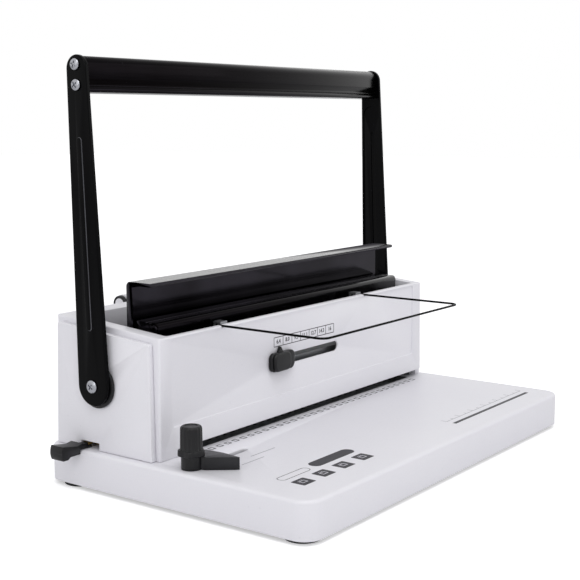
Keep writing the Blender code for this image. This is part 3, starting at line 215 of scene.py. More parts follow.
def makeSurface(name, look):
    # layers: a slow drift of tone, fine grain or drawn lines, specks, edges lightened as rubbed wear and as a
    # painted highlight, and the bump under them
    material = bpy.data.materials.new(name)
    tree, shader = shaderOf(material, look["shader"])

    def noise(place, size, detail, roughness):
        return addNode(tree, "ShaderNodeTexNoise", inputs={
            "Vector": place, "Scale": 1 / (size * mm), "Detail": detail, "Roughness": roughness}).outputs[0]

    def over(share, under, colour):
        return addNode(tree, "ShaderNodeMix", {"data_type": "RGBA"}, {
            0: share, 6: under, 7: linear(colour)}).outputs[2]

    def bump(height, strength, depth, **under):
        return addNode(tree, "ShaderNodeBump", inputs={
            "Strength": strength, "Distance": depth * mm, "Height": height, **under}).outputs[0]

    driftColour, driftSize = look["drift"]
    grainColour, grainSize, grainShare, stretch = look["grain"]
    speckColour, speckPitch, speckShare = look["speck"]
    edgeColour, edgeShare = look["edge"]
    peelSize, *peel = look["peel"]
    place = addNode(tree, "ShaderNodeTexCoord").outputs["Object"]
    drawn = addNode(tree, "ShaderNodeMapping", inputs={"Vector": place, "Scale": stretch}).outputs[0]
    drift, grain = noise(place, driftSize, 3.0, 0.55), noise(drawn, grainSize, 4.0, 0.6)
    specks = addNode(tree, "ShaderNodeTexVoronoi", inputs={
        "Vector": place, "Scale": 1 / (speckPitch * mm)}).outputs["Distance"]
    bend = addNode(tree, "ShaderNodeNewGeometry").outputs["Pointiness"]
    # convex edges lightened by pointiness: rubbed wear on most finishes, a painted highlight on the black
    # powder coat
    wornAndLitEdges = worked(tree, "MULTIPLY", ranged(tree, bend, *spans["edge"], 0.0, edgeShare), drift)
    tone = over(drift, linear(look["colour"]), driftColour)
    tone = over(ranged(tree, grain, *spans["grain"], 0.0, grainShare), tone, grainColour)
    tone = over(ranged(tree, specks, *spans["speck"], speckShare, 0.0), tone, speckColour)
    tree.links.new(over(wornAndLitEdges, tone, edgeColour), shader.inputs["Base Color"])
    rough = ranged(tree, worked(tree, "ADD", drift, grain), *spans["rough"], *look["roughness"])
    tree.links.new(rough, shader.inputs["Roughness"])
    low = bump(noise(place, peelSize, 1.0, 0.5), *peel)
    tree.links.new(bump(grain, *look["grainBump"], Normal=low), shader.inputs["Normal"])
    return material


even = (1, 1, 1)            # grain that runs alike in all directions
metal = {"Metallic": 1.0}


def coat(level):    # paint, plastic, rubber and ink, by how strongly they shine
    return {"Metallic": 0.0, "IOR": 1.5, "Specular IOR Level": level}


def ink(colour, drift, grain, speck, edge):
    return {"shader": coat(0.3), "colour": colour, "drift": (drift, 10.0), "grain": (grain, 0.5, 0.35, even),
            "speck": (speck, 2.2, 0.35), "edge": (edge, 0.4), "roughness": (0.42, 0.55),
            "peel": (2.5, 0.05, 0.02), "grainBump": (0.1, 0.01)}


# drift: colour, size. grain: colour, size, share, stretch. speck: colour, pitch, share. edge: colour, share.
# roughness: least, most. peel: size, strength, depth. grainBump: strength, depth.
surfaceLooks = {
    # sprayed powder coat on steel sheet: an even satin white, cool in tone, with a faint orange-peel swell
    "whitePowderCoat": {
        "shader": coat(0.4), "colour": "#e6e5ea", "drift": ("#e1e0e6", 90.0),
        "grain": ("#d9d8df", 1.1, 0.18, even), "speck": ("#c8c7ce", 9.0, 0.2), "edge": ("#f2f2f5", 0.8),
        "roughness": (0.34, 0.46), "peel": (2.6, 0.22, 0.05), "grainBump": (0.12, 0.02)},
    # satin powder coat over pressed steel: deep black, with a painted highlight in pale grey along the rolled
    # edges
    "blackPowderCoat": {
        "shader": coat(0.06), "colour": "#030304", "drift": ("#020203", 45.0),
        # the pale grey edge colour is a painted highlight along the edges and the rib, not wear
        "grain": ("#09090a", 0.7, 0.4, even), "speck": ("#1c1c1f", 7.0, 0.2), "edge": ("#77777d", 1.0),
        "roughness": (0.14, 0.2), "peel": (1.8, 0.06, 0.04), "grainBump": (0.15, 0.02)},
    # anodised aluminium extrusion: black with fine lines drawn along its length
    "blackAnodisedAluminium": {
        "shader": metal, "colour": "#0b090a", "drift": ("#080607", 60.0),
        "grain": ("#110f10", 0.5, 0.5, (0.02, 1, 1)), "speck": ("#2a272b", 11.0, 0.3), "edge": ("#4a4750", 0.6),
        "roughness": (0.12, 0.2), "peel": (6.0, 0.05, 0.05), "grainBump": (0.2, 0.015)},
    # injection-moulded ABS with a fine spark-eroded matt: dark grey-black, a broad dull sheen
    "mouldedBlackPlastic": {
        "shader": coat(0.3), "colour": "#0c0c0e", "drift": ("#09090b", 30.0),
        "grain": ("#18181b", 0.45, 0.5, even), "speck": ("#323236", 5.0, 0.25), "edge": ("#45454a", 0.5),
        "roughness": (0.28, 0.4), "peel": (3.0, 0.08, 0.05), "grainBump": (0.3, 0.03)},
    # moulded rubber: dull black that shows a little dust
    "mouldedRubber": {
        "shader": coat(0.3), "colour": "#141415", "drift": ("#19191a", 12.0),
        "grain": ("#262627", 0.8, 0.5, even), "speck": ("#4a4a4c", 3.0, 0.3), "edge": ("#2c2c2e", 0.5),
        "roughness": (0.68, 0.85), "peel": (2.0, 0.2, 0.08), "grainBump": (0.3, 0.04)},
    # bright zinc plate on turned steel: mirror-like with light handling marks
    "brightZincSteel": {
        "shader": metal, "colour": "#b2b3b8", "drift": ("#a2a4aa", 4.0),
        "grain": ("#8b8d94", 0.35, 0.4, even), "speck": ("#86888e", 1.6, 0.3), "edge": ("#eeeef0", 0.6),
        "roughness": (0.16, 0.3), "peel": (1.5, 0.1, 0.03), "grainBump": (0.12, 0.01)},
    # ground and lightly oiled tool steel: mid grey, lines from the grinding wheel along X
    "groundSteel": {
        "shader": metal, "colour": "#8e8f92", "drift": ("#7d7e82", 35.0),
        "grain": ("#6b6c70", 0.6, 0.6, (0.05, 1, 1)), "speck": ("#55534f", 6.0, 0.4), "edge": ("#b9babd", 0.6),
        "roughness": (0.32, 0.5), "peel": (4.0, 0.06, 0.05), "grainBump": (0.25, 0.02)},
    # stamped brass: warm yellow with darker hazing
    "stampedBrass": {
        "shader": metal, "colour": "#c9a457", "drift": ("#b38d42", 14.0),
        "grain": ("#94702f", 0.6, 0.4, (1, 0.1, 1)), "speck": ("#6f5526", 4.0, 0.3), "edge": ("#e2c684", 0.6),
        "roughness": (0.24, 0.42), "peel": (3.0, 0.08, 0.05), "grainBump": (0.2, 0.02)},
    # screen-printed ink: flat dark grey, edges slightly thin
    "printedInk": ink("#1d1c20", "#242328", "#323138", "#6a696f", "#55545a"),
    # the same ink laid thin, as the pale lines of a scale
    "printedGreyInk": ink("#8d8c93", "#98979e", "#a7a6ad", "#c0bfc6", "#a0a0a6"),
    # white ink printed over the dark blocks
    "printedPaleInk": ink("#c9c8cf", "#d2d1d8", "#bdbcc3", "#e0dfe6", "#d8d8de"),
}
surfaces = {name: makeSurface(name, look) for name, look in surfaceLooks.items()}
slotSurfaces = {
    "cover_white": "whitePowderCoat", "black_enamel": "blackPowderCoat",
    "black_anodised": "blackAnodisedAluminium", "black_plastic": "mouldedBlackPlastic",
    "foot_rubber": "mouldedRubber", "bright_steel": "brightZincSteel",
    "dull_steel": "groundSteel", "brass": "stampedBrass",
}
print("surfaces made:", len(surfaces))


def arcPoints(cx, cy, radius, start, end, steps):
    turns = [radians(start + (end - start) * k / steps) for k in range(steps + 1)]
    return [(cx + radius * cos(t), cy + radius * sin(t)) for t in turns]


def quarter(steps, first=0):    # a rolled edge: shares of its radius, in from one face and off the next
    turns = [radians(90 * k / steps) for k in range(first, steps + 1)]
    return [(1 - cos(t), 1 - sin(t)) for t in turns]


def circle(count):
    return [(cos(tau * k / count), sin(tau * k / count)) for k in range(count)]


def roundedBox(x0, x1, y0, y1, radius, steps=8):
    return (arcPoints(x1 - radius, y0 + radius, radius, -90, 0, steps)
            + arcPoints(x1 - radius, y1 - radius, radius, 0, 90, steps)
            + arcPoints(x0 + radius, y1 - radius, radius, 90, 180, steps)
            + arcPoints(x0 + radius, y0 + radius, radius, 180, 270, steps))


def capsule(a, b, radiusA, radiusB, steps=14):
    span = math.dist(a, b)
    heading = math.degrees(math.atan2(b[1] - a[1], b[0] - a[0]))
    lean = math.degrees(math.acos((radiusA - radiusB) / span))
    return (arcPoints(b[0], b[1], radiusB, heading - lean, heading + lean, steps)
            + arcPoints(a[0], a[1], radiusA, heading + lean, heading + 360 - lean, steps))


def lift(u, v, w, axis):
    return {"X": (w, u, v), "Y": (u, w, v), "Z": (u, v, w)}[axis]


def rework(mesh, *steps):    # each step works on the mesh's points, edges and faces
    work = bmesh.new()
    work.from_mesh(mesh)
    for step in steps:
        step(work)
    work.to_mesh(mesh)
    work.free()


def weld(work):
    bmesh.ops.remove_doubles(work, verts=work.verts, dist=weldReach * mm)


def dropSlivers(work):
    bmesh.ops.dissolve_degenerate(work, edges=work.edges, dist=weldReach * mm)


def facesOut(piece):
    rework(piece.data, lambda work: bmesh.ops.recalc_face_normals(work, faces=work.faces))
    return piece


def skin(name, rings, ends=True):    # closed body through rings of equal count
    count = len(rings[0])
    points = [world(*p) for ring in rings for p in ring]
    faces = []
    for low in range(0, len(points) - count, count):
        high = low + count
        faces += [(low + k, low + (k + 1) % count, high + (k + 1) % count, high + k) for k in range(count)]
    if ends:
        faces += [tuple(reversed(range(count))), tuple(range(len(points) - count, len(points)))]
    mesh = bpy.data.meshes.new(name)
    mesh.from_pydata(points, [], faces)
    return facesOut(addObject(name, mesh))


def prism(name, outline, low, high, axis="Z"):
    return skin(name, [[lift(u, v, w, axis) for u, v in outline] for w in (low, high)])


def block(name, x0, x1, y0, y1, z0, z1):
    return prism(name, corners(x0, x1, y0, y1), z0, z1)


def turned(name, profile, centre, axis="Z", count=48):    # profile: place along the axis, radius
    (u, v), turns = centre, circle(count)
    return skin(name, [[lift(u + radius * c, v + radius * s, along, axis) for c, s in turns]
                       for along, radius in profile])


def bake(piece):
    bpy.context.view_layer.update()
    mesh = bpy.data.meshes.new_from_object(piece.evaluated_get(bpy.context.evaluated_depsgraph_get()))
    piece.modifiers.clear()
    piece.data = mesh
    return piece


def combine(piece, others, operation="DIFFERENCE"):
    for other in others:
        step = piece.modifiers.new("step", "BOOLEAN")
        step.operation, step.solver, step.object = operation, "EXACT", other
    bake(piece)
    for other in others:
        bpy.data.objects.remove(other)
    rework(piece.data, weld, dropSlivers)
    return piece


def soften(piece, width, steps=2, angle=32):
    bevel = piece.modifiers.new("soft_edges", "BEVEL")
    bevel.width, bevel.segments, bevel.limit_method = width * mm, steps, "ANGLE"
    bevel.angle_limit = radians(angle)
    bevel.harden_normals = False
    return bake(piece)


def mirror(piece, name):
    middle = world(0, 0, 0)
    mesh = piece.data.copy()
    mesh.transform(Matrix.Translation(middle) @ Matrix.Diagonal((-1, 1, 1, 1)) @ Matrix.Translation(-middle))
    mesh.flip_normals()
    return addObject(name, mesh)


def dress(piece, body, slot, nodes=(), surface=None, smooth=35):
    piece.data.materials.clear()
    piece.data.materials.append(surfaces[surface or slotSurfaces[slot]])
    piece.data.shade_smooth()
    piece.data.set_sharp_from_angle(angle=radians(smooth))
    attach(piece, body)
    if nodes:
        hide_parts(*nodes)
    return piece


def dressPair(piece, body, slot, rightNode):    # the piece at the right, and its mirror image at the left
    leftNode = rightNode.replace("right", "left")
    twin = mirror(piece, leftNode.replace("_", "-") + "-skin")
    dress(piece, body, slot, [rightNode])
    dress(twin, body, slot, [leftNode])


def gather(name, pieces):    # one mesh from several bodies
    work = bmesh.new()
    for piece in pieces:
        work.from_mesh(piece.data)
        bpy.data.objects.remove(piece)
    mesh = bpy.data.meshes.new(name)
    work.to_mesh(mesh)
    work.free()
    return addObject(name, mesh)


tray = {
    "width": 350, "depth": 224, "bottom": 3, "top": 28, "corner": 13,
    "roll": 2.5, "wall": 2.5, "ledge": 1.2, "floorTop": 4.5, "throatHalf": 150, "throat": (16.7, 41.3),
    "trackEnds": (-162.4, -108.9), "trackY": -10.6, "trackHalf": 2.5,
    "door": (16.4, 42.6, 4.5, 19.6), "soft": 0.5,
}


def trayRing(inset, z):
    halfX, halfY = tray["width"] / 2 - inset, tray["depth"] / 2 - inset
    return [(x, y, z) for x, y in roundedBox(-halfX, halfX, -halfY, halfY, tray["corner"] - inset, 12)]


def makeTray():
    low, top, roll, wall = pick(tray, "bottom top roll wall")
    rings = [trayRing(0, low)] + [trayRing(roll * c, top - roll * s) for c, s in quarter(10)]
    piece = skin("tray_shell", rings)
    ledgeTop, through = tray["floorTop"] + seatGap, (top - wall - overrun, top + overrun)
    recess = skin("recess", [trayRing(wall - tray["ledge"], z) for z in (low - overrun, ledgeTop)])
    cavity = skin("cavity", [trayRing(wall, z) for z in (low - overrun, top - wall)])
    mouth = block("mouth", -tray["throatHalf"], tray["throatHalf"], *tray["throat"], *through)
    ends, half = [(x, tray["trackY"]) for x in tray["trackEnds"]], tray["trackHalf"]
    track = prism("track", capsule(*ends, half, half), *through)
    side = tray["width"] / 2
    doorway = block("doorway", side - wall - overrun, side + overrun, *tray["door"])
    combine(piece, [recess, cavity, mouth, track, doorway])
    dress(soften(piece, tray["soft"]), "frame", "cover_white", ["base_tray"])


foot = {
    "radius": 12, "under": 2.7, "round": 1.1, "stem": 3, "stemTop": 5.2, "chamfer": 0.4,
    "screwHole": 3.4, "screwDeep": 1.4,
    "places": {"foot_front_left": (-159.5, -96), "foot_front_right": (159.5, -96),
               "foot_rear_left": (-161, 92), "foot_rear_right": (161, 92)},
}


def makeFeet():
    r, edge, under, stem = pick(foot, "radius round under stem")
    hole, deep, chamfer = pick(foot, "screwHole screwDeep chamfer")
    profile = [(deep, chamfer), (deep, hole - chamfer), (0, hole)]
    profile += [(h, x) for x, h in arcPoints(r - edge, edge, edge, -90, 0, 5)]
    profile += [(under - chamfer, r), (under, r - chamfer), (under, stem), (foot["stemTop"], stem)]
    for node, place in foot["places"].items():
        dress(turned(node.replace("_", "-") + "-pad", profile, place), "frame", "foot_rubber", [node])


makeTray()
makeFeet()
print("tray and feet made")

cover = {
    "half": 165, "draft": 1.0, "front": 13.7, "frontTop": 14.0, "rear": 107.2, "rearTop": 108.6,
    "foot": 28.3, "base": 28, "height": 109, "rise": 0.082,
    "wall": 2.2, "corner": 1.5, "edge": 1.0, "innerCorner": 0.5, "soft": 0.3,
    "hem": 1.2, "hemSide": 8, "hemRear": 14,    # turned-down rim of the opening: thickness and depths
    "topHole": (-154, 154, 17.2, 95.5), "inset": (-153, 151, 48.7, 107.5), "insetDeep": 0.9, "insetCorner": 2,
    "throatLift": 5.5, "throatLeft": -142, "guideFront": 17.5, "slot": (-43.9, 39.0, 69.7, 77.5),
    # cut for the margin lever: front, rear and top, then how far it reaches out and in at the left wall
    "sideSlot": (65.6, 82.9, 33.3), "sideReach": (6, 4),
    "notch": 1.7, "notchLow": 107.2, "wireEnds": (-100.2, 76.6),
    "shaft": (64.5, 73.5, 6.0), "shaftReach": 172,
}


def coverTop(y):
    return cover["height"] + cover["rise"] * (y - cover["frontTop"])


def share(z):
    return (z - cover["base"]) / (cover["height"] - cover["base"])


def sideX(z):
    return cover["half"] - cover["draft"] * share(z)


def frontY(z):
    return cover["front"] + (cover["frontTop"] - cover["front"]) * share(z)


def rearY(z):
    return cover["rear"] + (cover["rearTop"] - cover["rear"]) * share(z)


def insetY():    # face of the shallow recess in the front
    low, high = cover["inset"][2:]
    return frontY((low + high) / 2) + cover["insetDeep"]


def coverRing(inset, drop, corner):
    half = cover["half"] - cover["draft"] - inset
    outline = roundedBox(-half, half, cover["frontTop"] + inset, cover["rearTop"] - inset, corner, 10)
    return [(x, y, coverTop(y) - drop) for x, y in outline]


def coverFoot(inset, z, corner):
    half = cover["half"] - inset
    outline = roundedBox(-half, half, cover["front"] + inset, cover["rear"] - inset, corner, 10)
    return [(x, y, z) for x, y in outline]


def coverHems():    # rim turned down along the sides and the rear of the opening
    x1, y0, y1 = cover["topHole"][1:]
    outer, inner, tuck = x1 + cover["hem"], x1 - lap, cover["wall"] / 2
    front, rear, deep = y0 + lap, y1 + cover["hem"], cover["hemSide"]
    side = [(front, coverTop(front) - tuck), (front, coverTop(front) - deep),
            (rear, coverTop(rear) - deep), (rear, coverTop(rear) - tuck)]
    return [prism("hem_left", side, -outer, -inner, "X"), prism("hem_right", side, inner, outer, "X"),
            block("hem_rear", -outer, outer, y1 - lap, rear, coverTop(rear) - cover["hemRear"],
                  coverTop(y1) - tuck)]


def shaftBore():
    y, z, radius = cover["shaft"]
    return turned("shaft", [(x, radius) for x in (-cover["shaftReach"], cover["shaftReach"])], (y, z), "X")


def leverSlot():
    (front, rear, top), (outside, inside) = cover["sideSlot"], cover["sideReach"]
    wall = cover["draft"] - cover["half"]
    return block("lever_slot", -cover["half"] - outside, wall + inside, front, rear,
                 cover["base"] - overrun, top)


def makeCover():
    edge, wall, corner, innerCorner = pick(cover, "edge wall corner innerCorner")
    base, before, behind = cover["base"], cover["front"] - overrun, cover["guideFront"]
    rings = [coverFoot(0, cover["foot"], corner)]
    rings += [coverRing(edge * c, edge * s, corner - edge * c) for c, s in quarter(8)]
    piece = skin("cover_shell", rings)
    hollow = skin("hollow", [coverFoot(wall, cover["foot"] - overrun, innerCorner),
                             coverRing(wall, wall, innerCorner)])
    combine(piece, [hollow])
    combine(piece, coverHems(), "UNION")
    high = coverTop(cover["rear"])
    topHole = prism("top_hole", roundedBox(*cover["topHole"], wall),
                    cover["height"] - cover["hemRear"] - overrun, high + overrun)
    mouth = block("mouth", cover["throatLeft"], cover["half"] + overrun, before, behind,
                  base - overrun, base + cover["throatLift"])
    inset = prism("inset", roundedBox(*cover["inset"], cover["insetCorner"]), before, insetY(), "Y")
    left, right, low, top = cover["slot"]
    radius, middle = (top - low) / 2, (top + low) / 2
    slot = prism("slot", capsule((left + radius, middle), (right - radius, middle), radius, radius),
                 before, behind + wall, "Y")
    notches = [block("notch", x - cover["notch"], x + cover["notch"], before, behind, cover["notchLow"], high)
               for x in cover["wireEnds"]]
    combine(piece, [topHole, mouth, inset, slot, shaftBore(), leverSlot(), *notches])
    dress(soften(piece, cover["soft"]), "frame", "cover_white", ["body_cover"])


sidePanel = {
    "thick": 4.1, "front": 17.5, "frontTop": 19.5, "rear": 105.8, "rearTop": 103.8, "belowTop": 4.2,
    "corner": 1.5, "soft": 0.6,
}


def panelOutline():
    low = cover["foot"]
    frontTop = coverTop(sidePanel["frontTop"]) - sidePanel["belowTop"]
    rearTop = coverTop(sidePanel["rearTop"]) - sidePanel["belowTop"]
    r, lean = sidePanel["corner"], math.degrees(math.atan(cover["rise"]))
    outline = [(sidePanel["front"], low), (sidePanel["rear"], low)]
    outline += arcPoints(sidePanel["rearTop"] - r, rearTop - r, r, 0, 90 + lean, 8)
    outline += arcPoints(sidePanel["frontTop"] + r, frontTop - r * (1 - cover["rise"]), r, 90 + lean, 180, 8)
    return outline


def makeSidePanels():
    for side, node in ((-1, "side_panel_left"), (1, "side_panel_right")):
        rings = [[(side * (sideX(z) + far), y, z) for y, z in panelOutline()]
                 for far in (seatGap, seatGap + sidePanel["thick"])]
        piece = skin(node.replace("_", "-") + "-sheet", rings)
        cutters = [shaftBore()] + ([leverSlot()] if side < 0 else [])
        dress(soften(combine(piece, cutters), sidePanel["soft"]), "frame", "cover_white", [node])


makeCover()
makeSidePanels()
print("cover and side panels made")

handle = {
    "inner": 172, "outer": 175, "foot": (64.5, 73.5), "footRadius": 13.5,
    "head": (72.0, 280.5), "headRadius": 8.9, "roll": 1.1, "backRoll": 0.3, "soft": 0.35,
    "ribFrom": 113, "ribTo": 234.5, "ribHalf": 2.4, "ribRise": 0.8, "ribRoot": 0.4,
    "panFrom": 100, "panTo": 251, "panWall": 1.7, "panDeep": 1.5, "grooveWall": 0.7, "grooveDeep": 2.5,
    "bossRadius": 15.3, "bossThick": 2.0, "bossBore": 5.3,
}


def onArm(z):    # middle line and half width of the arm at a height
    (y0, z0), (y1, z1) = handle["foot"], handle["head"]
    t = (z - z0) / (z1 - z0)
    return (y0 + (y1 - y0) * t, z), handle["footRadius"] + (handle["headRadius"] - handle["footRadius"]) * t


def armRing(inset, x):
    radii = (handle["footRadius"] - inset, handle["headRadius"] - inset)
    return [(x, y, z) for y, z in capsule(handle["foot"], handle["head"], *radii, 20)]


def makeArms():    # pressed sheet: rolled edges, a rib that stands out, and the hollow behind them
    inner, outer, roll, back = pick(handle, "inner outer roll backRoll")
    rings = [armRing(back * s, inner + back * c) for c, s in quarter(3)]
    rings += [armRing(roll * c, outer - roll * s) for c, s in quarter(8, 1)]
    arm = skin("arm-right-skin", rings)
    low, high = onArm(handle["ribFrom"])[0], onArm(handle["ribTo"])[0]
    half, rise, root = pick(handle, "ribHalf ribRise ribRoot")
    rib = [[(outer - root + (root + rise) * (1 - s), y, z)
            for y, z in capsule(low, high, half - rise * c, half - rise * c)] for c, s in quarter(6)]
    combine(arm, [skin("rib", rib)], "UNION")
    (lowEnd, lowHalf), (highEnd, highHalf) = onArm(handle["panFrom"]), onArm(handle["panTo"])
    wall, half, start = handle["panWall"], half - handle["grooveWall"], inner - overrun
    pan = prism("pan", capsule(lowEnd, highEnd, lowHalf - wall, highHalf - wall), start,
                inner + handle["panDeep"], "X")
    groove = prism("groove", capsule(low, high, half, half), start, inner + handle["grooveDeep"], "X")
    combine(arm, [pan, groove])
    dressPair(soften(arm, handle["soft"]), "handle", "black_enamel", "arm_right")


screw = {
    "rivets": {"high": ((72.0, 283.1), 20), "low": ((71.4, 270.1), 55)},    # place, turn of the cross
    "rivetHead": 3.8, "boltHead": 4.5, "boltTurn": 35,
    "lift": 0.15, "thick": 1.9, "rim": 0.25, "shank": 1.8, "shankLong": 6,
    "domeFrom": 0.45, "domeTop": 0.32, "domeCurve": 0.75, "flat": 0.25,
    "recessArm": 2.3, "recessHalf": 0.5, "recessDeep": 1.0, "soft": 0.12,
}


def panScrew(name, place, radius, turn):
    under, thick, rim, shank = handle["outer"] + screw["lift"], screw["thick"], screw["rim"], screw["shank"]
    profile = [(under - screw["shankLong"], shank), (under, shank)]
    profile += [(under, radius - rim), (under + rim, radius)]
    least, start = screw["domeTop"], screw["domeFrom"]
    for t in (radians(degrees) for degrees in range(0, 90, 10)):
        wide = least + (1 - least) * cos(t) ** screw["domeCurve"]
        profile.append((under + start + (thick - start) * sin(t), radius * wide))
    profile.append((under + thick, radius * screw["flat"]))
    head = turned(name, profile, place, "X")
    top, half, arm = under + thick, screw["recessHalf"], screw["recessArm"]
    cross = [block("cross", top - screw["recessDeep"], top + overrun, -a, a, -b, b)
             for a, b in ((arm, half), (half, arm))]
    spin = Matrix.Rotation(radians(turn), 4, "X") @ Matrix.Translation(-world(0, 0, 0))
    for groove in cross:
        groove.data.transform(Matrix.Translation(world(0, *place)) @ spin)
    return soften(combine(head, cross), screw["soft"])


def makeScrews():
    for level, (place, turn) in screw["rivets"].items():
        rivet = panScrew("rivet-" + level + "-right-screw", place, screw["rivetHead"], turn)
        dressPair(rivet, "handle", "bright_steel", "rivet_" + level + "_right")
    bolt = panScrew("pivot-bolt-right-screw", handle["foot"], screw["boltHead"], screw["boltTurn"])
    dressPair(bolt, "handle", "bright_steel", "pivot_bolt_right")


def makeBosses():
    outer, radius, bore = handle["inner"] - seatGap, handle["bossRadius"], handle["bossBore"]
    disc = turned("boss-disc-right-skin", [(outer - handle["bossThick"], radius), (outer, radius)],
                  handle["foot"], "X", 72)
    combine(disc, [turned("bore", [(0, bore), (handle["outer"], bore)], handle["foot"], "X")])
    dressPair(soften(disc, handle["soft"]), "handle", "black_plastic", "boss_disc_right")


bar = {
    "front": 65, "depth": 15.5, "low": 265.2, "high": 288.5, "round": 5.8, "lean": 2.2, "halfX": 171.7,
    # from the bottom up: height over the foot of the bar and how far the face stands back
    "face": [(0.0, 0.9), (0.4, 0.3), (1.0, 0.0), (2.1, 0.0), (2.4, 0.15), (3.6, 0.8),
             (3.7, 1.2), (4.1, 1.4), (4.2, 1.1), (5.5, 1.7), (9.0, 0.1), (9.5, 0.0)],
    "soft": 0.25,
}


def barOutline():
    halfY, halfZ, r = bar["depth"] / 2, (bar["high"] - bar["low"]) / 2, bar["round"]
    side = [(halfY - back, rise - halfZ) for rise, back in bar["face"]]
    side += arcPoints(halfY - r, halfZ - r, r, 0, 90, 10)
    full = side + [(-y, z) for y, z in reversed(side)]
    lean, cy, cz = radians(bar["lean"]), bar["front"] + halfY, bar["low"] + halfZ
    c, s = cos(lean), sin(lean)
    return [(cy + y * c + z * s, cz + z * c - y * s) for y, z in full]


def makeBar():
    piece = prism("handle-bar-extrusion", barOutline(), -bar["halfX"], bar["halfX"], "X")
    dress(soften(piece, bar["soft"]), "handle", "black_anodised", ["handle_bar"])


makeArms()
makeScrews()
makeBosses()
makeBar()
print("handle made")

closer = {
    "railHalf": 148, "railFront": 29.5, "railRear": 50, "railLow": 99.3, "railTop": 115.5, "railRound": 3,
    "railChamfer": 0.6, "grooves": ((36.0, 1.0, 0.6), (39.5, 0.7, 0.45)),    # front, width, depth
    "screw": (32.5, 111.5), "screwHead": 2.6, "screwThick": 1.0, "screwRim": 0.5, "screwShank": 1.4,
    "screwHole": 1.2, "screwFloor": 0.3,
    "pressHalf": 149.5, "pressRear": 56.5, "pressThick": 5.5, "pressLow": 96.3, "pressHigh": 141.5,
    "pressRound": 3.5, "lipFront": 34, "lipThick": 2.5, "innerRound": 1.5, "tongueLap": 0.01, "soft": 0.3,
}


def makeRail():
    front, rear, top, r = pick(closer, "railFront railRear railTop railRound")
    low, half, chamfer = pick(closer, "railLow railHalf railChamfer")
    outline = [(rear, top - chamfer), (rear - chamfer, top)]
    for start, width, deep in reversed(closer["grooves"]):
        outline += [(start + width, top), (start + width, top - deep), (start, top - deep), (start, top)]
    outline += arcPoints(front + r, top - r, r, 90, 180, 8) + [(front, low), (rear, low)]
    rail = prism("anvil-rail-extrusion", outline, -half, half, "X")
    dress(soften(rail, closer["soft"]), "frame", "black_anodised", ["anvil_rail"])
    under, head, rim = half + seatGap, closer["screwHead"], closer["screwRim"]
    face, shank, hole = under + closer["screwThick"], closer["screwShank"], closer["screwHole"]
    profile = [(under - screw["shankLong"], shank), (under, shank), (under, head), (under + rim, head),
               (face, head - rim), (face, hole), (under + closer["screwFloor"], hole)]
    pin = turned("rail-screw-right-skin", profile, closer["screw"], "X", 32)
    dressPair(pin, "frame", "black_anodised", "rail_screw_right")


def tonguesBelow(node, height):    # the toothed tongues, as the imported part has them
    def cutAt(work):
        whole = work.verts[:] + work.edges[:] + work.faces[:]
        cut = bmesh.ops.bisect_plane(work, geom=whole, plane_co=(0, 0, height * mm), plane_no=(0, 0, 1),
                                     clear_outer=True)["geom_cut"]
        bmesh.ops.holes_fill(work, edges=[e for e in cut if isinstance(e, bmesh.types.BMEdge)])

    mesh = frame["nodes"][node].data.copy()
    rework(mesh, weld, cutAt)
    return facesOut(addObject("tongues", mesh))


def makePress():
    rear, low, high, r = pick(closer, "pressRear pressLow pressHigh pressRound")
    front, tip = rear - closer["pressThick"], closer["lipThick"] / 2
    under, bend = high - closer["lipThick"], closer["innerRound"]
    outline = [(front, low), (rear, low)] + arcPoints(rear - r, high - r, r, 0, 90, 10)
    outline += arcPoints(closer["lipFront"] + tip, high - tip, tip, 90, 270, 8)
    outline += arcPoints(front - bend, under - bend, bend, 90, 0, 6)
    plate = prism("press-plate-extrusion", outline, -closer["pressHalf"], closer["pressHalf"], "X")
    combine(plate, [tonguesBelow("press_plate", low + closer["tongueLap"])], "UNION")
    dress(soften(plate, closer["soft"], angle=40), "press", "black_anodised", ["press_plate"])


makeRail()
makePress()
print("closer made")

selector = {
    "plate": (-49.4, -21.5, 66.9, 80.8), "front": 11.5, "corner": 4.5, "pointer": (2.6, 4.2), "soft": 0.5,
    "grip": (-47.6, -28.0), "gripFront": 9.2, "gripRound": 1.8, "gripRoot": 0.4,
    "neck": 3, "neckRoot": 1, "neckPlay": 0.5, "sliderFront": 16.4,
}


def makeSelector():
    (left, right, low, high), front, r = pick(selector, "plate front corner")
    (gripLeft, gripRight), roll, play = pick(selector, "grip gripRound neckPlay")
    middle, (half, rise) = (gripLeft + gripRight) / 2, selector["pointer"]
    slotLow, slotHigh = cover["slot"][2:]
    ring = roundedBox(left, right, low, high, r)
    pointer = [(middle + half, high), (middle, high + rise), (middle - half, high)]
    outline = ring[:len(ring) // 2] + pointer + ring[len(ring) // 2:]
    face = frontY(slotLow) + cover["insetDeep"] - seatGap
    plate = soften(prism("selector-knob-skin", outline, front, face, "Y"), selector["soft"], 3)

    def gripRing(inset, y):
        outline = roundedBox(gripLeft + inset, gripRight - inset, low + inset, high - inset, r - inset)
        return [(x, y, z) for x, z in outline]

    rings = [gripRing(roll * s, selector["gripFront"] + roll * c) for c, s in quarter(7)]
    grip = skin("grip", rings + [gripRing(0, front + selector["gripRoot"])])
    neck = block("neck", middle - selector["neck"], middle + selector["neck"], front + selector["neckRoot"],
                 selector["sliderFront"] - seatGap, slotLow + play, slotHigh - play)
    dress(combine(plate, [grip, neck], "UNION"), "selector", "black_plastic", ["selector_knob"])


wire = {
    "radius": 0.8, "left": -100.2, "right": 76.6, "front": -70, "z": 108.7, "bend": 6, "foot": 9,
    "hingeY": 20.75, "soft": 0.2,
}


def tube(name, path, radius, count=16):
    rings = []
    for k, point in enumerate(path):
        before, after = Vector(path[max(k - 1, 0)]), Vector(path[min(k + 1, len(path) - 1)])
        run = (after - before).normalized()
        side = run.cross(Vector((0, 0, 1))).normalized()
        over = side.cross(run)
        rings.append([tuple(Vector(point) + radius * (side * c + over * s)) for c, s in circle(count)])
    return skin(name, rings)


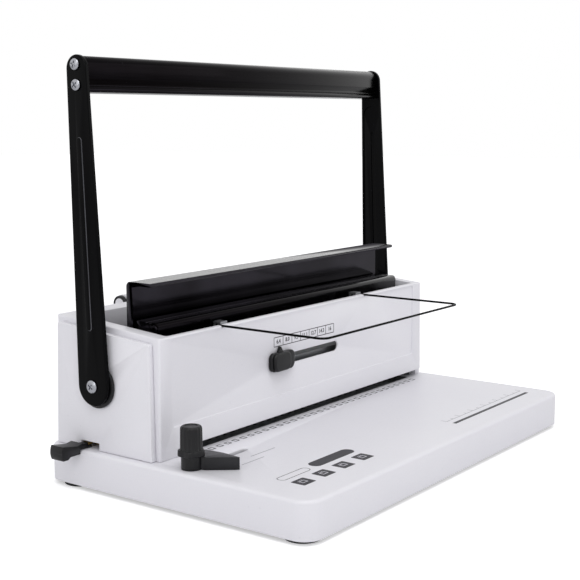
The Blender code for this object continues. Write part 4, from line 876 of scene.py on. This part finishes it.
def makeWire():
    small, z, hinge = 2 * wire["radius"], wire["z"], wire["hingeY"]
    left, right, front, bend = pick(wire, "left right front bend")
    path = [(left + wire["foot"], hinge)]
    path += arcPoints(left + small, hinge - small, small, 90, 180, 8)
    path += arcPoints(left + bend, front + bend, bend, 180, 270, 12)
    path += arcPoints(right - bend, front + bend, bend, 270, 360, 12)
    path += arcPoints(right - small, hinge - small, small, 0, 90, 8)
    path += [(right - wire["foot"], hinge)]
    piece = tube("wire-support-rod", [(x, y, z) for x, y in path], wire["radius"])
    dress(soften(piece, wire["soft"], angle=60), "support", "black_enamel", ["wire_support"])


makeSelector()
makeWire()
print("selector and wire support made")

lever = {
    "neckY": (77.0, 82.3), "gripRear": 88.5, "inner": 173.2, "outer": 192.2, "neckEnd": 168.4,
    "low": 28.5, "neckTop": 32.0, "innerTop": 32.6, "outerTop": 33.7, "waist": (5, 31.6),
    "step": 175.6, "under": 25.5, "heelLow": 24.0, "heelLength": 4.5, "heelSlope": 2.2,
    "bulge": 1.2, "ledgeTop": 30.0, "soft": 0.55,
}


def makeLever():
    (front, rear), low, outer, inner = pick(lever, "neckY low outer inner")
    step, under, heelLow, bulge = pick(lever, "step under heelLow bulge")
    half, (waistOut, waistTop) = (lever["outerTop"] - heelLow) / 2, lever["waist"]
    arch = (half * half + bulge * bulge) / (2 * bulge)
    spread, heel = math.degrees(math.asin(half / arch)), lever["heelLength"] + bulge - outer
    outline = [(-inner - waistOut, waistTop), (-inner, lever["innerTop"]), (-inner, low), (-step, low),
               (-step, under), (heel + lever["heelSlope"], under), (heel, heelLow)]
    outline += arcPoints(arch - outer, heelLow + half, arch, 180 + spread, 180 - spread, 12)
    grip = prism("margin-lever-skin", outline, front, lever["gripRear"], "Y")
    neck = block("neck", -inner - lap, -lever["neckEnd"], front, rear, low, lever["neckTop"])
    ledge = block("ledge", -lever["neckEnd"] - lap, -cover["half"], front, rear, low, lever["ledgeTop"])
    piece = combine(grip, [neck, ledge], "UNION")
    dress(soften(piece, lever["soft"], 3), "margin", "black_plastic", ["margin_lever"])


guide = {
    "place": (-162.4, -10.6), "disc": 6.8, "low": 28.3, "high": 36.5, "bore": 2.5, "soft": 0.7,
    "wedge": [(-161, -19.6), (-147, -37.5), (-145.3, -23), (-145.8, -8.5), (-162.4, -7.2)],
}


def makeGuide():
    low, high, bore = pick(guide, "low high bore")
    disc = turned("edge-guide-skin", [(low, guide["disc"]), (high, guide["disc"])], guide["place"])
    combine(disc, [prism("wedge", guide["wedge"], low, high)], "UNION")
    combine(disc, [turned("bore", [(low - overrun, bore), (high + overrun, bore)], guide["place"])])
    dress(soften(disc, guide["soft"], 3), "guide", "black_plastic", ["edge_guide"])


knob = {
    "collar": (9.0, 7.7), "lobes": 5, "collarTop": 41, "collarFoot": 1.0,
    "rim": 0.6, "rimTurns": (0.4, 0.8, 1.2, 1.57), "fillet": (0.5, 0.2),
    "foot": 7.3, "head": 7.1, "cap": 5.6, "top": 56.2, "dome": 2.2, "dish": ((0, 1.0), (0.5, 1.4)),
    "flutes": 15, "flute": 0.45, "stem": 2.2, "stemLow": 19.1,
}


def knobRing(z, radius):
    count, (x, y) = knob["flutes"] * 8, guide["place"]
    turns = [tau * k / count for k in range(count)]
    return [(x + radius(t) * cos(t), y + radius(t) * sin(t), z) for t in turns]


def makeKnob():
    (big, small), rim, head, cap = pick(knob, "collar rim head cap")
    low, top, collarTop, dome = guide["high"] + seatGap, knob["top"], knob["collarTop"], knob["dome"]

    def plain(radius):
        return lambda t: radius

    def lobed(trim):
        return lambda t: small - trim + (big - small) / 2 * (1 + cos(knob["lobes"] * t))

    def fluted(radius, depth=knob["flute"]):
        return lambda t: radius - depth * (0.5 + 0.5 * cos(knob["flutes"] * t)) ** 3

    rings = [knobRing(z, plain(knob["stem"])) for z in (knob["stemLow"], low)]
    rings.append(knobRing(low, lobed(knob["collarFoot"])))
    rolled = [(rim * (1 - cos(a)), rim * (1 - sin(a))) for a in knob["rimTurns"]]
    rings += [knobRing(low + c, lobed(s)) for c, s in rolled]
    rings += [knobRing(collarTop - s, lobed(c)) for c, s in rolled]
    up, out = knob["fillet"]
    rings += [knobRing(collarTop, fluted(knob["foot"] + out)), knobRing(collarTop + up, fluted(knob["foot"])),
              knobRing(top - dome, fluted(head))]
    rings += [knobRing(top - dome * s, fluted(head - (head - cap) * c, knob["flute"] * (1 - c)))
              for c, s in quarter(5, 1)]
    rings += [knobRing(top - drop, plain(cap - inset)) for drop, inset in knob["dish"]]
    dress(skin("clamp-knob-skin", rings), "clamp", "black_plastic", ["clamp_knob"], smooth=50)


drawer = {
    "left": -150, "y": (17, 42), "low": 4.8, "top": 19, "wall": 1.5, "inside": 172.5,
    "face": (171.5, 176.5), "faceLap": 0.3, "grip": 2, "gripHalf": 7, "gripLow": 6, "soft": 0.4,
}


def makeDrawer():
    (front, rear), low, top, wall = pick(drawer, "y low top wall")
    (faceIn, faceOut), edge = drawer["face"], drawer["faceLap"]
    tub = block("chip-drawer-skin", drawer["left"], drawer["inside"], front, rear, low, top)
    face = block("face", faceIn, faceOut, front - edge, rear + edge, low, top + edge)
    middle, (half, reach) = (front + rear) / 2, pick(drawer, "gripHalf grip")
    start = low + drawer["gripLow"]
    grip = block("grip", faceOut - wall, faceOut + reach, middle - half, middle + half, start, start + reach)
    combine(tub, [face, grip], "UNION")
    room = block("room", drawer["left"] + wall, faceIn, front + wall, rear - wall, low + wall, top + overrun)
    dress(soften(combine(tub, [room]), drawer["soft"], 3), "drawer", "black_plastic", ["chip_drawer"])


makeLever()
makeGuide()
makeKnob()
makeDrawer()
print("levers, guide and drawer made")

carry = {
    "place": (115.5, 114.0), "radius": 4.4, "end": 97.3, "soft": 0.3,
    # end ring: back from the end, and in from the rim or out from the tube
    "cap": 6.3, "capLength": 2.4,
    "capRim": ((0.5, 0), (0.15, 0.15), (0, 0.5)), "capBore": ((0, 0.5), (0.2, 0.3)),
    "postLength": 9.5, "postRound": 6.8, "postLow": 100, "postToe": 0.7, "postSoft": 0.5,
}


def makeCarryBar():
    place, end, cap, radius = pick(carry, "place end cap radius")
    inner, bore, (cy, cz) = end - carry["capLength"], radius + seatGap, place
    rod = turned("carry-bar-tube", [(-end, radius), (end, radius)], place, "X")
    dress(soften(rod, carry["soft"]), "frame", "cover_white", ["carry_bar"])
    profile = [(inner, bore), (inner, cap)] + [(end - back, cap - step) for back, step in carry["capRim"]]
    profile += [(end - back, radius + step) for back, step in carry["capBore"]]
    ring = turned("carry-cap-right-skin", profile, place, "X")
    dressPair(facesOut(ring), "frame", "black_plastic", "carry_cap_right")
    low, high = carry["postLow"], cz + carry["postRound"]
    seatLow, seatHigh = rearY(low) + seatGap, rearY(high) + seatGap
    outline = [(seatLow, low), (seatLow + carry["postToe"], low)]
    outline += arcPoints(cy, cz, carry["postRound"], -30, 90, 16) + [(seatHigh, high)]
    stop = inner - seatGap
    start = stop - carry["postLength"]
    post = prism("carry-post-right-skin", outline, start, stop, "X")
    combine(post, [turned("bore", [(start - overrun, bore), (inner + overrun, bore)], place, "X")])
    dressPair(soften(post, carry["postSoft"], 3, 40), "frame", "cover_white", "carry_post_right")


spring = {
    "radius": 3.8, "wire": 0.6, "turns": 5, "turnSteps": 24, "sides": 10, "x": 115, "y": 44,
    "low": 28.3, "high": 59.84, "travel": 14.2,
}


def makeSprings():
    x, y, radius, steps = pick(spring, "x y radius turnSteps")
    low, high = spring["low"] + spring["wire"], spring["high"] - spring["wire"]
    for side, node in ((-1, "return_spring_left"), (1, "return_spring_right")):
        path = []
        for k in range(spring["turns"] * steps + 1):
            turn, up = tau * k / steps, k / (spring["turns"] * steps)
            path.append((side * x + radius * cos(turn), y + radius * sin(turn), low + (high - low) * up))
        coil = tube(node.replace("_", "-") + "-coil", path, spring["wire"], spring["sides"])
        dress(coil, "punch", "bright_steel", [node], smooth=60)
        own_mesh(coil)


makeCarryBar()
makeSprings()
print("carry bar and springs made")

prints = {
    "thick": 0.04,
    "markRow": 9.0, "markSize": 4.5, "markLine": 0.8, "marks": 34, "markPitch": 25.4 / 3, "markShift": 3.0,
    "label": (-42.5, 33.5, 84.7, 91.5), "labelLine": 0.55, "labelSize": 4.1, "labelWeight": 0.12,
    "wireSizes": ["6.4", "8.0", "9.5", "11.1", "12.7", "14.3", "16"],
    # dark blocks, each with a small pale sheet and a row of dots
    "blockY": (-89.3, -78.5), "blockX": (-142.4, -120.6, -98.6, -76.2), "blockHalf": 6.25, "blockCorner": 0.8,
    "sheetHalf": (2.6, 1.9), "sheetLine": 0.6, "dots": (-1.6, 0.0, 1.6), "dotHalf": 0.35,
    "pill": (-112.6, -66.8, -73.4, -63.6),
    "palePill": (-149.0, -118.2, -73.5, -66.5), "palePillCorner": 3.4, "palePillLine": 0.5,
    "scaleBar": (35.0, 156.0, -92.5, -89.6),
    "scaleTicks": (36.0, 158.0, -84.0, -79.5), "tickCount": 13, "tickHalf": 0.25, "tickBase": 0.5,
    "rules": ((-118.8, -93.0, -24.0), (-137.5, -114.3, -31.4)), "ruleHalf": 0.35,    # left, right, then Y
}


def flatPrint(outline, inner=None, layer=0):    # ink laid on the tray, as a body of its own thickness
    low = tray["top"] + layer * prints["thick"]
    high = low + prints["thick"]
    if inner is None:
        return prism("ink", outline, low, high)
    loops = ((outline, low), (outline, high), (inner, high), (inner, low), (outline, low))
    piece = skin("ink", [[(x, y, z) for x, y in loop] for loop, z in loops], ends=False)
    rework(piece.data, weld)
    return facesOut(piece)


def flatFrame(x0, x1, y0, y1, line, layer=0):
    return flatPrint(corners(x0, x1, y0, y1), corners(x0 + line, x1 - line, y0 + line, y1 - line), layer)


def digits(text, size, turn):
    curve = bpy.data.curves.new("digits", "FONT")
    curve.body, curve.size, curve.extrude = text, size * mm, prints["thick"] / 2 * mm
    curve.offset = prints["labelWeight"] * mm
    curve.align_x, curve.align_y, curve.resolution_u = "CENTER", "CENTER", 3
    letters = addObject("digits", curve)
    bpy.context.view_layer.update()
    mesh = bpy.data.meshes.new_from_object(letters.evaluated_get(bpy.context.evaluated_depsgraph_get()))
    bpy.data.objects.remove(letters)
    mesh.transform(turn)
    return addObject("digits", mesh)


def layInk(name, pieces, surface):
    dress(gather(name, pieces), "frame", "cover_white", surface=surface)


def makeMarkRow():    # one small frame on the tray for each punch
    half, y, marks = prints["markSize"] / 2, prints["markRow"], prints["marks"]
    places = [prints["markShift"] + (n - (marks - 1) / 2) * prints["markPitch"] for n in range(marks)]
    row = [flatFrame(x - half, x + half, y - half, y + half, prints["markLine"]) for x in places]
    layInk("hole_mark_row", row, "printedInk")


def makeBlocks():
    (y0, y1), half, corner = pick(prints, "blockY blockHalf blockCorner")
    dark = [flatPrint(roundedBox(x - half, x + half, y0, y1, corner, 3)) for x in prints["blockX"]]
    (wide, deep), line, dot = pick(prints, "sheetHalf sheetLine dotHalf")
    middle, motifs = (y0 + y1) / 2, []
    dotLow = middle + deep + line
    for x in prints["blockX"]:
        motifs.append(flatFrame(x - wide, x + wide, middle - deep, middle + deep, line, layer=1))
        motifs += [flatPrint(corners(x + t - dot, x + t + dot, dotLow, dotLow + 2 * dot), layer=1)
                   for t in prints["dots"]]
    layInk("block_motifs", motifs, "printedPaleInk")
    x0, x1, y0, y1 = prints["pill"]
    dark += [flatPrint(roundedBox(x0, x1, y0, y1, (y1 - y0) / 2)), flatPrint(corners(*prints["scaleBar"]))]
    (x0, x1, y0, y1), corner, line = pick(prints, "palePill palePillCorner palePillLine")
    inner = roundedBox(x0 + line, x1 - line, y0 + line, y1 - line, corner - line)
    dark.append(flatPrint(roundedBox(x0, x1, y0, y1, corner), inner))
    layInk("tray_dark_print", dark, "printedInk")


def makeScale():
    (left, right, low, high), count, half = pick(prints, "scaleTicks tickCount tickHalf")
    pale = []
    for n in range(count):
        x = left + (right - left) * n / (count - 1)
        pale.append(flatPrint(corners(x - half, x + half, low, high if n % 2 == 0 else (low + high) / 2)))
    pale.append(flatPrint(corners(left, right, low - prints["tickBase"], low)))
    half = prints["ruleHalf"]
    pale += [flatPrint(corners(a, b, y - half, y + half)) for a, b, y in prints["rules"]]
    layInk("tray_pale_print", pale, "printedGreyInk")


def makeSizeLabel():
    (left, right, low, high), half, sizes = prints["label"], prints["labelLine"] / 2, prints["wireSizes"]
    back, pitch = insetY(), (right - left) / len(sizes)
    front = back - prints["thick"]
    parts = [block("line", left, right, front, back, z - half, z + half) for z in (low, high)]
    for x in (left + pitch * n for n in range(len(sizes) + 1)):
        parts.append(block("line", x - half, x + half, front, back, low + half, high - half))
    upright = Matrix.Rotation(math.pi / 2, 4, "X")
    for n, size in enumerate(sizes):
        middle = world(left + pitch * (n + 0.5), (front + back) / 2, (low + high) / 2)
        parts.append(digits(size, prints["labelSize"], Matrix.Translation(middle) @ upright))
    layInk("size_label", parts, "printedInk")


makeMarkRow()
makeBlocks()
makeScale()
makeSizeLabel()
print("printed marks made")


def finishCarriedNodes():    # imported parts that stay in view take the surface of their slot
    for name, node in frame["nodes"].items():
        if node.hide_render or not node.data.materials:
            continue
        slot = node.data.materials[0].name.split(".")[0]
        for place in node.material_slots:
            place.link = "OBJECT"
            place.material = surfaces[slotSurfaces.get(slot, "groundSteel")]
        print("kept", name, slot)


finishCarriedNodes()
